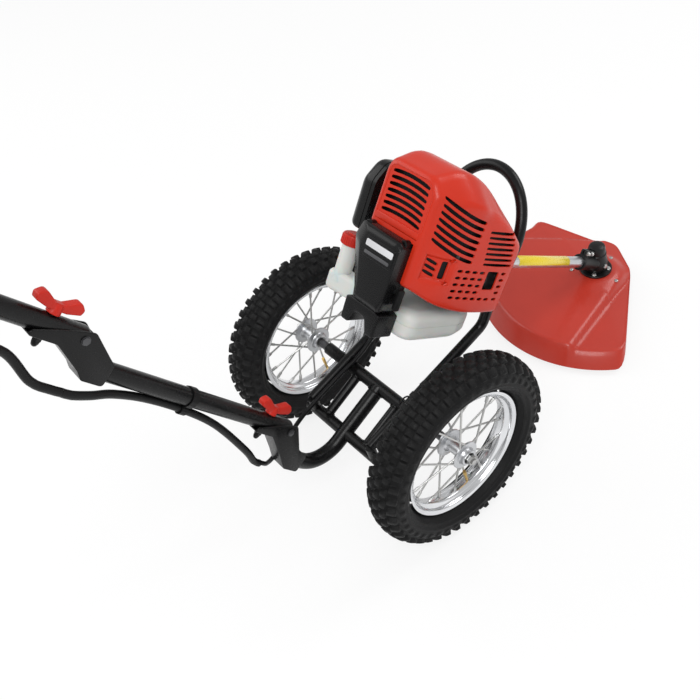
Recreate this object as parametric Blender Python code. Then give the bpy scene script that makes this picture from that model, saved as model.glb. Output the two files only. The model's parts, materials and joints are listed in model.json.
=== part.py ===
"""Two-wheeled petrol brush cutter: spoked wheels, tubular frame, slotted engine cover, fan guard.

The machine frame starts at the middle of the axle: +X is the operator's right, +Y points to the
cutter and +Z is up.  The drive line frame follows the sloping crankshaft and shaft tube, and the
head frame stands where that line meets the upright cutter spindle.  Metres throughout.
"""

import math

import bmesh
import bpy
from mathutils import Matrix, Vector

# ---- Fits ----------------------------------------------------------------------------------
GAP = 0.0003                   # between pieces that touch
RUN_GAP = 0.0012               # between pieces that turn past each other

# ---- Wheels --------------------------------------------------------------------------------
AXLE_Y = 0.0491               # axle's place along the machine, from the middle of its length
TYRE_R = 0.2038
TYRE_HALF = 0.042
TRACK_HALF = 0.2221
KNOB_COUNT = 24
KNOB_DEPTH = 0.0085
SIDE_KNOB_DEPTH = 0.0035
KNOB_PHASES = (0.04, 0.46, 0.54, 0.96)   # ends of the shoulder block and of the crown block
CASING_R = 0.1660                      # where the sidewall is widest
SHOULDER_DROP = 0.0140                 # shoulder edges below the crown
CROWN_DROP = 0.0030
RIM_FLANGE_R = 0.1375
RIM_SEAT_R = 0.1270
RIM_HALF = 0.0241
RIM_WALL = 0.0026
RIM_WELL_R = 0.1180
RIM_STEPS = 24
SPOKE_COUNT = 20
SPOKE_R = 0.0018
SPOKE_INSET = 0.0035                   # spoke's foot from the flange's edge
SPOKE_CROSS = math.radians(36.0)
HUB_HALF = 0.0330
HUB_R = 0.0165
HUB_FLANGE_R = 0.0290
HUB_FLANGE_X = 0.0210
HUB_FLANGE_WALL = 0.0040
BEARING_R = 0.0125
AXLE_R = 0.0060
NUT_R = 0.0100
NUT_THICK = 0.0090
VALVE_R = 0.0030
VALVE_LENGTH = 0.0300

# ---- Frame ---------------------------------------------------------------------------------
LEG_R = 0.0110
LEG_X = 0.0910
LEG_REAR = (-0.1055, -0.0145)          # y, z of the legs' rear ends
LEG_BEND = (0.2060, 0.0870)            # y, z where the legs turn up
HOOP_FOOT = (0.2200, 0.1275)           # y, z where the hoop starts to widen
HOOP_X = 0.1000
HOOP_SPRING = (0.2906, 0.2320)         # y, z where the arch starts
HOOP_RISE = 0.1240
HOOP_STEPS = 12
TUBE_SIDES = 8
LADDER_R = 0.0100
LADDER_X = 0.0600
LADDER_LOW = (-0.1003, -0.0526)        # y, z of the lower cross tube
CROSS_R = 0.0120
CROSS_HALF = 0.1150
AXLE_TUBE_R = 0.0130
AXLE_TUBE_HALF = 0.1650
CENTRE_R = 0.0160
CENTRE_BEND = 0.0340
CENTRE_LAST = 0.0900                   # straight end of the centre tube
MOUNT_THICK = 0.0050
MOUNT_HALF = 0.0300
MOUNT_DROP = 0.0200
MOUNT_EAR = 0.0220                     # height of the plate's ends on the legs
MOUNT_TOP_HALF = 0.0400

# ---- Drive line ----------------------------------------------------------------------------
ENGINE_Y = 0.1457
ENGINE_Z = 0.2374
SHAFT_LENGTH = 0.6300                  # engine origin to the spindle's axis
HEAD_GROUND = 0.0953                   # spindle's origin above the ground
SHAFT_SLOPE = math.asin((ENGINE_Z + TYRE_R - HEAD_GROUND) / SHAFT_LENGTH)
TUBE_R = 0.0130
TUBE_WALL = 0.0015
BAND_WALL = 0.0004
BAND_REAR = 0.3000
BAND_SHORT = 0.0200                    # band's end from the gear head's socket
DRIVE_R = 0.0040
HOOP_U = 0.1200                        # the hoop's plane along the drive line
CASE_R = 0.0617
CASE_REAR = 0.0500
CASE_FRONT = 0.0850
CASE_WALL = 0.0030
FLANGE_FACE_R = 0.0370                 # clutch case's flange on the mount plate
NECK_R = 0.0260
NOSE_R = 0.0185
NOSE_U = 0.1620
DRUM_R = 0.0250
DRUM_WALL = 0.0022
DRUM_REAR = 0.0830
DRUM_LENGTH = 0.0210
CLUTCH_R = 0.0220
FLYWHEEL_R = 0.0530
FLYWHEEL_REAR = 0.0560
FLYWHEEL_THICK = 0.0120
FIN_COUNT = 10
CRANK_R = 0.0070
CRANKCASE_R = 0.0440
CRANKCASE_REAR = -0.1000
CYLINDER_HALF = 0.0400
CYLINDER_TOP = 0.1330
CYLINDER_MID_U = -0.0200
FIN_PITCH = 0.0110

# ---- Engine cover --------------------------------------------------------------------------
COVER_WALL = 0.0028
COVER_LEFT = -0.0550
COVER_SILL = 0.0620                    # lower edge of the cover above the starter
COVER_INNER = 0.0620                   # inner edge of the cover beside the starter
COVER_REAR = -0.1180
# u, top z, right end of the top, right side x, right shoulder z, lower edge z of each section
COVER_SECTIONS = (
    (COVER_REAR, 0.1820, 0.0560, 0.0760, 0.1560, -0.0150),
    (-0.0620, 0.2010, 0.0700, 0.1080, 0.1560, -0.0350),
    (-0.0050, 0.1880, 0.0760, 0.1200, 0.1450, -0.0450),
    (0.0500, 0.1500, 0.0840, 0.1270, 0.1260, -0.0460),
    (0.1050, 0.1060, 0.0900, 0.1290, 0.0940, -0.0440),
)
COVER_ROUND = 0.0062
REAR_SLOTS = 8
REAR_SLOT_FIRST = 0.0790
REAR_SLOT_PITCH = 0.0125
REAR_SLOT_WIDTH = 0.0900
REAR_SLOT_HEIGHT = 0.0060
REAR_SLOT_SAG = 0.0050
REAR_SLOT_X = 0.0080
SIDE_SLOTS = 7
SIDE_SLOT_FIRST = 0.0780
SIDE_SLOT_PITCH = 0.0125
SIDE_SLOT_LENGTH = 0.0780
SIDE_SLOT_HEIGHT = 0.0058
SIDE_SLOT_DROP = 0.0240
SIDE_SLOT_U = -0.0980
FRONT_SLOTS = 7
FRONT_SLOT_FIRST = 0.0480
FRONT_SLOT_PITCH = 0.0095
FRONT_SLOT_LENGTH = 0.0620
FRONT_SLOT_HEIGHT = 0.0045
FRONT_SLOT_U = 0.0120
GRID_ROWS = 3
GRID_COLUMNS = 4
GRID_PITCH_U = 0.0170
GRID_PITCH_V = 0.0130
GRID_SLOT = (0.0110, 0.0055)
GRID_CORNER = (-0.0470, 0.0020)        # u, z of the first grid slot
EXHAUST_HOLE = (0.0280, 0.0570, -0.0020, 0.0370)

# ---- Starter, intake, exhaust, tank --------------------------------------------------------
STARTER_HALF = 0.0617
STARTER_LOW = -0.0760
STARTER_HIGH = 0.0617
STARTER_FRONT = -0.1003
STARTER_BACK = -0.1500
STARTER_CHAMFER = 0.0140
PULLEY_R = 0.0400
PULLEY_POST_R = 0.0080
PULLEY_THICK = 0.0100
STARTER_CAVITY_U = -0.1300
PULL_LENGTH = 0.0420
PULL_R = 0.0075
PULL_U = -0.1200
PULL_V = -0.0400
MUFFLER_X = (0.0663, 0.1045)
MUFFLER_U = (-0.0500, 0.0620)
MUFFLER_V = (-0.0330, 0.0700)
OUTLET_R = 0.0080
CARB_X = (-0.0900, -0.0560)
CARB_U = (-0.0400, 0.0000)
CARB_V = (0.0350, 0.0800)
FILTER_X = (-0.1350, -0.0903)
FILTER_U = (-0.0900, 0.0250)
FILTER_V = (0.0250, 0.1500)
FILTER_LEAN = 0.0150
TANK_X = (-0.0950, 0.0920)
TANK_U = (-0.0860, 0.0820)
TANK_V = (-0.1230, -0.0620)
TANK_ROUND = 0.0160
FILLER_X = -0.1160
FILLER_U = -0.0760
FILLER_R = 0.0170
FILLER_TOP = -0.0180
CAP_R = 0.0225
CAP_HEIGHT = 0.0240
FOOT_HALF = 0.0580
FOOT_LOW = -0.1250

# ---- Cutter head ---------------------------------------------------------------------------
HEAD_R = 0.0270
SOCKET_R = 0.0190
SOCKET_LENGTH = 0.0760
HEAD_NECK_R = 0.0220
HEAD_NECK_LOW = -0.0400
HEAD_FLANGE_R = 0.0380
HEAD_FLANGE_LOW = -0.0200
HEAD_FLANGE_THICK = 0.0050
HEAD_TOP = 0.0260
GEAR_CONE = 0.0160                     # cone distance of the bevel pair
GEAR_TEETH = 14
PINION_TEETH = 11
PINION_ANGLE = math.radians(49.0)
GEAR_ANGLE = math.radians(68.0)
TOOTH_DEPTH = 0.0016
SPINDLE_R = 0.0060
BLADE_Z = -0.0600
BLADE_THICK = 0.0016
BLADE_R = 0.1275
BLADE_ROOT_R = 0.0550
BLADE_TEETH = 2
BLADE_TURN = math.radians(136.0)         # where the first tooth stands at rest
# share of a tooth's pitch and radius of each corner of the blade
BLADE_STEPS = ((0.0, BLADE_R), (0.09, BLADE_R), (0.19, BLADE_ROOT_R), (0.75, BLADE_ROOT_R * 1.1))
FLANGE_R = 0.0250
CUP_R = 0.0460
CUP_WALL = 0.0025
SPINDLE_NUT_R = 0.0095

# ---- Guard ---------------------------------------------------------------------------------
GUARD_RAYS = 32
GUARD_WALL = 0.0030
GUARD_HUB_R = 0.0240
GUARD_FLAT_Z = -0.0500
GUARD_TOP_R = 0.2480
GUARD_BOTTOM_R = 0.2720
GUARD_SKIRT = 0.0340
GUARD_RAISE = 0.0270
GUARD_LEFT_TIP = (-0.2750, 0.0760)
GUARD_FRONT_LEFT = (-0.0300, 0.1160)
GUARD_FRONT_RIGHT = (0.0560, 0.0620)
GUARD_RIGHT_TIP = (0.2080, -0.1500)
GUARD_FAN = (math.radians(-66.0), math.radians(-178.0))
GUARD_LIP = 0.0060

# ---- Handle --------------------------------------------------------------------------------
HANDLE_SLOPE = math.radians(55.0)
STEM_R = 0.0160
STEM_WALL = 0.0015
LOWER_N = -0.1400                      # stem's distance across the slope from the axle
UPPER_N = -0.0990
LOWER_PIVOT_S = 0.1900                 # distances up the slope from the axle
UPPER_PIVOT_S = 0.7000
LOWER_STEM_TOP = 0.6600
UPPER_STEM_TOP = 1.0600
CLAMP_OFFSET = 0.0570                  # clamp screw's distance above the fold pin
BRACKET_WALL = 0.0030
BRACKET_LENGTH = 0.0850
FOLD_LIMIT = math.radians(120.0)       # furthest fold that a bracket leaves room for
BRACKET_TAIL = 0.0185                  # half height of the end that meets the carrying tube
CENTRE_END_S = 0.1120
CENTRE_END_N = -0.1960
PIN_R = 0.0040
PIN_HEAD_R = 0.0075
PIN_HEAD = 0.0035
KNOB_SPAN = 0.0400
KNOB_HEIGHT = 0.0300
KNOB_HUB_R = 0.0110
KNOB_WING = 0.0160
BAR_R = 0.0110
# Corners of the handlebar's right half in the upper stem's frame, from the clamp outwards
BAR_CORNERS = ((0.070, 0.000, 0.000), (0.170, -0.060, 0.000), (0.290, -0.130, -0.130))
BAR_BEND = 0.0450
GRIP_R = 0.0165
GRIP_LENGTH = 0.1150
THROTTLE_LENGTH = 0.0450
LEVER_Y = 0.0240                       # lever pins' distance from the bar's axis
LEVER_PIN_R = 0.0018
CABLE_R = 0.0070
WIRE_R = 0.0045
CABLE_GAP = 0.0006
CABLE_STEP = 3.0                       # diameters from point to point
CLIP_S = 0.4464
# Cable routes: in the upper fold's frame, the lower fold's frame and the machine frame
CABLE_UPPER = (
    (0.180, -0.448, -0.065), (0.150, -0.415, -0.075), (0.095, -0.320, -0.070), (0.055, -0.210, -0.055),
    (0.030, -0.118, -0.046), (0.030, -0.054, -0.076), (0.030, -0.020, -0.080),
    (0.030, 0.000, -0.080),
)
CABLE_LOWER = (
    (0.030, -0.5094, -0.0390), (0.030, -0.490, -0.0390), (0.024, -0.455, -0.0340),
    (0.012, -0.410, -0.0270),
    (0.000, -0.3400, -0.0236), (0.000, -0.2564, -0.0236), (0.000, -0.166, -0.0340),
    (0.000, -0.061, -0.0650), (-0.004, -0.018, -0.083), (-0.004, 0.000, -0.085),
)
CABLE_FRAME = (
    (-0.0040, -0.2911, 0.0265), (-0.0050, -0.2830, 0.0140), (-0.018, -0.2720, -0.0060),
    (-0.034, -0.2500, -0.0230),
    (-0.052, -0.2000, -0.0230), (-0.070, -0.1400, -0.0150), (-0.0735, -0.0500, 0.0120),
    (-0.0735, 0.0200, 0.0330), (-0.080, 0.0750, 0.0620), (-0.098, 0.0950, 0.0800),
    (-0.1040, 0.1130, 0.1400), (-0.098, 0.1380, 0.1880), (-0.0845, 0.1466, 0.2420),
    (-0.0845, 0.1601, 0.2691),
)

# ---- Finishes: colour, roughness, metallic -------------------------------------------------
FINISHES = {
    "black_paint": ((0.012, 0.012, 0.013), 0.35, 0.0),
    "black_plastic": ((0.015, 0.015, 0.016), 0.45, 0.0),
    "red_plastic": ((0.60, 0.055, 0.018), 0.30, 0.0),
    "guard_red": ((0.55, 0.045, 0.020), 0.35, 0.0),
    "white_plastic": ((0.75, 0.76, 0.74), 0.45, 0.0),
    "tyre_rubber": ((0.014, 0.014, 0.015), 0.85, 0.0),
    "rim_silver": ((0.75, 0.76, 0.78), 0.22, 1.0),
    "steel": ((0.55, 0.56, 0.58), 0.35, 1.0),
    "dark_steel": ((0.10, 0.10, 0.11), 0.45, 1.0),
    "alloy": ((0.62, 0.63, 0.65), 0.40, 1.0),
    "brass": ((0.70, 0.45, 0.14), 0.35, 1.0),
    "yellow": ((0.85, 0.65, 0.03), 0.40, 0.0),
}


# ---- Shape tools ---------------------------------------------------------------------------
def clear_scene():
    """Remove the objects that are in the scene."""
    for item in list(bpy.data.objects):
        bpy.data.objects.remove(item, do_unlink=True)


def finish(name):
    """The Principled material of this name, made once."""
    if name in bpy.data.materials:
        return bpy.data.materials[name]
    colour, roughness, metallic = FINISHES[name]
    made = bpy.data.materials.new(name)
    made.use_nodes = True
    shader = made.node_tree.nodes["Principled BSDF"]
    shader.inputs["Base Color"].default_value = (*colour, 1.0)
    shader.inputs["Roughness"].default_value = roughness
    shader.inputs["Metallic"].default_value = metallic
    return made


def empty(name, parent=None, location=(0, 0, 0), rotation=(0, 0, 0)):
    """A frame that pieces hang from."""
    made = bpy.data.objects.new(name, None)
    bpy.context.scene.collection.objects.link(made)
    made.parent = parent
    made.location = location
    made.rotation_euler = rotation
    return made


def add(name, shape, parent, look, location=(0, 0, 0), rotation=(0, 0, 0)):
    """Turn a bmesh into a named object with its finish."""
    bmesh.ops.recalc_face_normals(shape, faces=shape.faces)
    mesh = bpy.data.meshes.new(name)
    shape.to_mesh(mesh)
    shape.free()
    mesh.materials.append(finish(look))
    mesh.shade_smooth()
    mesh.set_sharp_from_angle(angle=math.radians(35.0))
    made = bpy.data.objects.new(name, mesh)
    bpy.context.scene.collection.objects.link(made)
    made.parent = parent
    made.location = location
    made.rotation_euler = rotation
    return made


def boolean(target, shape, operation):
    """Cut or join a shape, given in the target's own axes."""
    other = add(f"{operation.lower()}_{target.name}_{len(target.modifiers)}", shape, target, "steel")
    other.hide_render = True
    other.display_type = "WIRE"
    step = target.modifiers.new(operation.lower(), "BOOLEAN")
    step.operation = operation
    step.object = other
    step.solver = "EXACT"


def cut(target, *shapes):
    """Take each shape away from the target."""
    for shape in shapes:
        boolean(target, shape, "DIFFERENCE")


def fuse(target, *shapes):
    """Join each shape to the target."""
    for shape in shapes:
        boolean(target, shape, "UNION")


def lofted(sections, closed=False):
    """A body through rings of equal length; the ends are capped unless the loft closes on itself."""
    shape = bmesh.new()
    rings = [[shape.verts.new(point) for point in section] for section in sections]
    count = len(rings[0])
    pairs = list(zip(rings, rings[1:] + rings[:1])) if closed else list(zip(rings, rings[1:]))
    for first, second in pairs:
        for i in range(count):
            j = (i + 1) % count
            shape.faces.new((first[i], first[j], second[j], second[i]))
    if not closed:
        shape.faces.new(rings[0])
        shape.faces.new(reversed(rings[-1]))
    return shape


def merged(shapes):
    """Several bodies that stay clear of each other, as one mesh."""
    result = bmesh.new()
    for shape in shapes:
        mesh = bpy.data.meshes.new("part")
        bmesh.ops.recalc_face_normals(shape, faces=shape.faces)
        shape.to_mesh(mesh)
        shape.free()
        result.from_mesh(mesh)
        bpy.data.meshes.remove(mesh)
    return result


def moved(shape, location=(0, 0, 0), axis="Z", angle=0.0):
    """The shape turned about an axis and then moved."""
    turn = Matrix.Translation(location) @ Matrix.Rotation(angle, 4, axis)
    bmesh.ops.transform(shape, matrix=turn, verts=shape.verts)
    return shape


def facing(shape, axis):
    """The shape with its own Z laid along X, Y or Z."""
    if axis == "X":
        return moved(shape, axis="Y", angle=math.pi / 2)
    if axis == "Y":
        return moved(shape, axis="X", angle=-math.pi / 2)
    return shape


def turned(profile, steps, axis="Z"):
    """A turned body: (radius, height) points that start and end on the axis, or a closed ring."""
    solid = profile[0][0] == 0.0
    rows = profile[1:-1] if solid else profile
    shape = bmesh.new()
    rings = []
    for radius, height in rows:
        angles = [2 * math.pi * i / steps for i in range(steps)]
        rings.append([shape.verts.new((radius * math.cos(a), radius * math.sin(a), height)) for a in angles])
    joins = list(zip(rings, rings[1:]))
    if not solid:
        joins.append((rings[-1], rings[0]))
    for first, second in joins:
        for i in range(steps):
            j = (i + 1) % steps
            shape.faces.new((first[i], first[j], second[j], second[i]))
    if solid:
        shape.faces.new(rings[0])
        shape.faces.new(rings[-1])
    return facing(shape, axis)


def rod(radius, low, high, steps=12, axis="Z"):
    """A plain round bar between two heights."""
    return turned([(0.0, low), (radius, low), (radius, high), (0.0, high)], steps, axis)


def bore(radius, low, high, steps=12, axis="Z"):
    """A cutter whose flats stay a fit's gap clear of a round piece of this radius."""
    return rod((radius + GAP) / math.cos(math.pi / steps), low, high, steps, axis)


def tube(outer, inner, low, high, steps=12, axis="Z"):
    """A plain tube between two heights."""
    return turned([(outer, low), (outer, high), (inner, high), (inner, low)], steps, axis)


def hex_nut(radius, rod_radius, low, high, axis="Z"):
    """A hexagonal nut whose hole clears the rod it sits on."""
    return tube(radius, (rod_radius + GAP) / math.cos(math.pi / 6), low, high, 6, axis)


def block(x, y, z):
    """A box from three (low, high) pairs."""
    low = [(x[0], y[0], z[0]), (x[1], y[0], z[0]), (x[1], y[1], z[0]), (x[0], y[1], z[0])]
    return lofted([low, [(a, b, z[1]) for a, b, _ in low]])


def rounded_block(x, y, z, radius, steps=2):
    """A box with its edges rounded."""
    shape = block(x, y, z)
    bmesh.ops.bevel(
        shape, geom=shape.edges[:], offset=radius, segments=steps, profile=0.5, affect="EDGES"
    )
    return shape


def prism(outline, axis, low, high):
    """An outline in the two other axes, extruded along X, Y or Z."""
    place = {
        "X": lambda a, b, d: (d, a, b),
        "Y": lambda a, b, d: (a, d, b),
        "Z": lambda a, b, d: (a, b, d),
    }[axis]
    return lofted([[place(a, b, d) for a, b in outline] for d in (low, high)])


def arc_band(start, end, bow, height, steps=3):
    """A curved slot's outline from start to end, bowed sideways, of this height."""
    points = []
    for i in range(steps + 1):
        t = i / steps
        lift = bow * 4 * t * (1 - t)
        points.append((start[0] + (end[0] - start[0]) * t, start[1] + (end[1] - start[1]) * t + lift))
    above = [(a, b + height / 2) for a, b in points]
    below = [(a, b - height / 2) for a, b in reversed(points)]
    return above + below


def bent(corners, radius, steps=4):
    """A path through the corners, each rounded by an arc of this radius."""
    points = [Vector(corners[0])]
    for before, corner, after in zip(corners, corners[1:], corners[2:]):
        corner = Vector(corner)
        back = (Vector(before) - corner).normalized()
        ahead = (Vector(after) - corner).normalized()
        half = back.angle(ahead) / 2
        reach = radius / math.tan(half)
        centre = corner + (back + ahead).normalized() * (radius / math.sin(half))
        start = corner + back * reach - centre
        swing = math.pi - 2 * half
        normal = start.cross(corner + ahead * reach - centre).normalized()
        for i in range(steps + 1):
            points.append(centre + Matrix.Rotation(swing * i / steps, 3, normal) @ start)
    points.append(Vector(corners[-1]))
    return points


def swept(path, radius, sides=TUBE_SIDES):
    """A round bar along a path."""
    path = [Vector(point) for point in path]
    tangents = []
    for i in range(len(path)):
        before = path[max(i - 1, 0)]
        after = path[min(i + 1, len(path) - 1)]
        tangents.append((after - before).normalized())
    side = tangents[0].orthogonal().normalized()
    sections = []
    for point, tangent in zip(path, tangents):
        side = (side - tangent * side.dot(tangent)).normalized()
        other = tangent.cross(side)
        angles = [2 * math.pi * (i + 0.5) / sides for i in range(sides)]
        sections.append([point + (side * math.cos(a) + other * math.sin(a)) * radius for a in angles])
    return lofted(sections)


# ---- Places --------------------------------------------------------------------------------
def slope_point(distance, across, x=0.0):
    """A point of the handle's slope in the machine frame: distance up it and distance across it."""
    back = Vector((0, -math.cos(HANDLE_SLOPE), math.sin(HANDLE_SLOPE)))
    up = Vector((0, math.sin(HANDLE_SLOPE), math.cos(HANDLE_SLOPE)))
    return Vector((x, 0, 0)) + back * distance + up * across


def line_point(along, height, x=0.0):
    """A point of the drive line frame, in the machine frame."""
    ahead = Vector((0, math.cos(SHAFT_SLOPE), -math.sin(SHAFT_SLOPE)))
    up = Vector((0, math.sin(SHAFT_SLOPE), math.cos(SHAFT_SLOPE)))
    return Vector((x, ENGINE_Y, ENGINE_Z)) + ahead * along + up * height


# ---- Wheels --------------------------------------------------------------------------------
def tyre_shape():
    """Knobbly tyre: shoulder and crown blocks stand in turn round a casing with finer steps outside."""
    crown = TYRE_R - KNOB_DEPTH
    side = TYRE_HALF - SIDE_KNOB_DEPTH
    inside = RIM_HALF - RIM_WALL - GAP
    steps = KNOB_COUNT * 4
    # radius, x, outward rise, sideways rise, the kind of block that stands here, steps
    half = (
        (RIM_SEAT_R + GAP, inside, 0.0, 0.0, None, steps // 4),
        (RIM_FLANGE_R + RUN_GAP, inside, 0.0, 0.0, None, steps // 4),
        (CASING_R, side, 0.0, 0.0, None, steps // 2),
        (crown - SHOULDER_DROP, side, 0.0, SIDE_KNOB_DEPTH, "shoulder", steps),
        (crown - CROWN_DROP, side - 0.006, KNOB_DEPTH * 0.8, 0.0, "shoulder", steps),
    )
    middle = (crown, 0.0, KNOB_DEPTH, 0.0, "crown", steps)
    rows = [(1, row) for row in half] + [(1, middle)] + [(-1, row) for row in reversed(half)]
    shape = bmesh.new()
    rings = []
    for way, (radius, x, out, wide, kind, count) in rows:
        ring = []
        for i in range(count):
            knob, quarter = divmod(i * steps // count, 4)
            angle = 2 * math.pi * (knob + KNOB_PHASES[quarter]) / KNOB_COUNT
            stands = kind == ("shoulder" if quarter < 2 else "crown")
            reach = radius + (out if stands else 0.0)
            width = way * (x + (wide if stands else 0.0))
            ring.append(shape.verts.new((width, reach * math.cos(angle), reach * math.sin(angle))))
        rings.append(ring)
    for first, second in zip(rings, rings[1:] + rings[:1]):
        stitch(shape, first, second)
    return shape


def stitch(shape, first, second):
    """Faces between two rings, where one may have a whole number of times the other's points."""
    fine, coarse = (first, second) if len(first) >= len(second) else (second, first)
    share = len(fine) // len(coarse)
    for i, corner in enumerate(coarse):
        after = coarse[(i + 1) % len(coarse)]
        run = [fine[(i * share + k) % len(fine)] for k in range(share + 1)]
        for k in range(share - 1):
            shape.faces.new((run[k], run[k + 1], corner))
        shape.faces.new((run[-2], run[-1], after, corner))


def rim_shape():
    """Drop-centre rim, turned about the axle."""
    well = RIM_HALF * 0.45
    upper = [
        (RIM_FLANGE_R, RIM_HALF - RIM_WALL),
        (RIM_SEAT_R, RIM_HALF - RIM_WALL),
        (RIM_WELL_R + RIM_WALL, well),
    ]
    lower = [(RIM_WELL_R, well), (RIM_SEAT_R - RIM_WALL - 0.002, RIM_HALF), (RIM_FLANGE_R, RIM_HALF)]
    far_upper = [(radius, -x) for radius, x in reversed(upper)]
    far_lower = [(radius, -x) for radius, x in reversed(lower)]
    return turned(upper + far_upper + far_lower + lower, RIM_STEPS, "X")


def hub_shape():
    """Turned hub barrel with two spoke flanges."""
    edge = HUB_FLANGE_X + HUB_FLANGE_WALL / 2
    inner = HUB_FLANGE_X - HUB_FLANGE_WALL / 2
    half = [(BEARING_R, HUB_HALF), (HUB_R, HUB_HALF), (HUB_R, edge)]
    half += [(HUB_FLANGE_R, edge), (HUB_FLANGE_R, inner), (HUB_R, inner)]
    other = [(radius, -x) for radius, x in reversed(half)]
    return turned(half + other, 12, "X")


def spoke_shapes():
    """Crossed spokes: each leaves a flange at a slant and ends in the rim's well."""
    spokes = []
    for i in range(SPOKE_COUNT):
        side = 1 if i % 2 else -1
        lean = 1 if (i // 2) % 2 else -1
        angle = 2 * math.pi * i / SPOKE_COUNT
        start = angle - lean * SPOKE_CROSS
        reach = HUB_FLANGE_R - SPOKE_INSET
        foot = Vector((side * HUB_FLANGE_X, reach * math.cos(start), reach * math.sin(start)))
        end = RIM_WELL_R + RIM_WALL / 2
        tip = Vector((side * 0.004, end * math.cos(angle), end * math.sin(angle)))
        spokes.append(swept([foot, tip], SPOKE_R, 3))
    return merged(spokes)


def wheel(side, parent):
    """One spoked wheel on its hub, with its tyre and valve."""
    word = "right" if side > 0 else "left"
    place = (side * TRACK_HALF, 0, 0)
    rim = add(f"wheel_{word}", rim_shape(), parent, "rim_silver", place)
    fuse(rim, hub_shape(), spoke_shapes())
    add(f"tyre_{word}", tyre_shape(), parent, "tyre_rubber", place)
    sleeve = tube(BEARING_R - GAP, AXLE_R + GAP, -HUB_HALF, HUB_HALF, 12, "X")
    add(f"bearing_{word}", sleeve, parent, "steel", place)
    valve_top = RIM_WELL_R * math.cos(math.pi / RIM_STEPS) - GAP
    stem = turned(
        [
            (0.0, valve_top - VALVE_LENGTH),
            (VALVE_R * 1.25, valve_top - VALVE_LENGTH),
            (VALVE_R * 1.25, valve_top - VALVE_LENGTH * 0.6),
            (VALVE_R, valve_top - VALVE_LENGTH * 0.6),
            (VALVE_R, valve_top),
            (0.0, valve_top),
        ],
        8,
    )
    tilt = math.pi / SPOKE_COUNT + math.pi
    add(f"valve_{word}", moved(stem, axis="X", angle=tilt), parent, "brass", place)


def axle(parent):
    """Axle rod from wheel to wheel and its two nuts."""
    end = TRACK_HALF + HUB_HALF + NUT_THICK + 0.004
    add("axle", rod(AXLE_R, -end, end, 12, "X"), parent, "steel")
    for side, word in ((1, "right"), (-1, "left")):
        low = TRACK_HALF + HUB_HALF + GAP
        nut = hex_nut(NUT_R, AXLE_R, low, low + NUT_THICK, "X")
        turn = 0.0 if side > 0 else math.pi
        add(f"axle_nut_{word}", moved(nut, axis="Z", angle=turn), parent, "steel")
        inner = AXLE_TUBE_HALF + GAP
        spacer = tube(AXLE_R + 0.003, AXLE_R + GAP, inner, TRACK_HALF - HUB_HALF - GAP, 12, "X")
        add(f"axle_spacer_{word}", moved(spacer, axis="Z", angle=turn), parent, "black_paint")


# ---- Frame ---------------------------------------------------------------------------------
def leg_path():
    """Half of the bent main tube, from the right leg's rear end to the top of the hoop."""
    spring = Vector((HOOP_X, *HOOP_SPRING))
    corners = [
        (LEG_X, *LEG_REAR),
        (LEG_X, *LEG_BEND),
        (LEG_X + 0.004, *HOOP_FOOT),
        spring,
    ]
    path = bent(corners[:3] + [tuple(spring)], 0.030, 3)
    rise = (Vector((0, *HOOP_SPRING)) - Vector((0, *HOOP_FOOT))).normalized()
    for i in range(1, HOOP_STEPS // 2 + 1):
        angle = math.pi * i / HOOP_STEPS
        path.append(
            Vector((HOOP_X * math.cos(angle), *HOOP_SPRING)) + rise * HOOP_RISE * math.sin(angle)
        )
    return path


def frame_tubes(parent):
    """The welded frame: legs and hoop, axle tube, ladder and the tube to the handle."""
    right = leg_path()
    left = [Vector((-x, y, z)) for x, y, z in reversed(right[:-1])]
    frame = add("frame", swept(right + left, LEG_R), parent, "black_paint")
    axle_tube = rod(AXLE_TUBE_R, -AXLE_TUBE_HALF, AXLE_TUBE_HALF, 12, "X")
    cross = moved(rod(CROSS_R, -CROSS_HALF, CROSS_HALF, 10, "X"), (0, *LADDER_LOW))
    fuse(frame, axle_tube, cross)
    for x in (-LADDER_X, LADDER_X):
        fuse(frame, swept([(x, 0, 0), (x, *LADDER_LOW)], LADDER_R))
    for x in (-LEG_X, LEG_X):
        fuse(frame, swept([(x, *LEG_REAR), (x, *LADDER_LOW)], LADDER_R))
    turn = slope_point(CENTRE_END_S - CENTRE_LAST, CENTRE_END_N)
    end = slope_point(CENTRE_END_S, CENTRE_END_N)
    centre = bent([(0, *LADDER_LOW), tuple(turn), tuple(end)], CENTRE_BEND, 6)
    fuse(frame, swept([(0, 0, 0)] + centre, CENTRE_R, 10))
    fuse(frame, mount_plate())
    cut(frame, bore(AXLE_R, -CROSS_HALF * 2, CROSS_HALF * 2, 12, "X"))
    cut(frame, in_line(bore(NECK_R, HOOP_U - 0.01, HOOP_U + 0.01, 20, "Y")))


def in_line(shape):
    """A shape drawn in the drive line frame, laid in the machine frame."""
    return moved(shape, (0, ENGINE_Y, ENGINE_Z), "X", -SHAFT_SLOPE)


def mount_plate():
    """Plate between the hoop's legs that carries the clutch case."""
    low = -MOUNT_HALF - MOUNT_DROP
    outline = [(-HOOP_X, low), (HOOP_X, low), (HOOP_X, low + MOUNT_EAR), (MOUNT_TOP_HALF, MOUNT_HALF)]
    outline += [(-MOUNT_TOP_HALF, MOUNT_HALF), (-HOOP_X, low + MOUNT_EAR)]
    return in_line(prism(outline, "Y", HOOP_U - MOUNT_THICK / 2, HOOP_U + MOUNT_THICK / 2))


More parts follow.
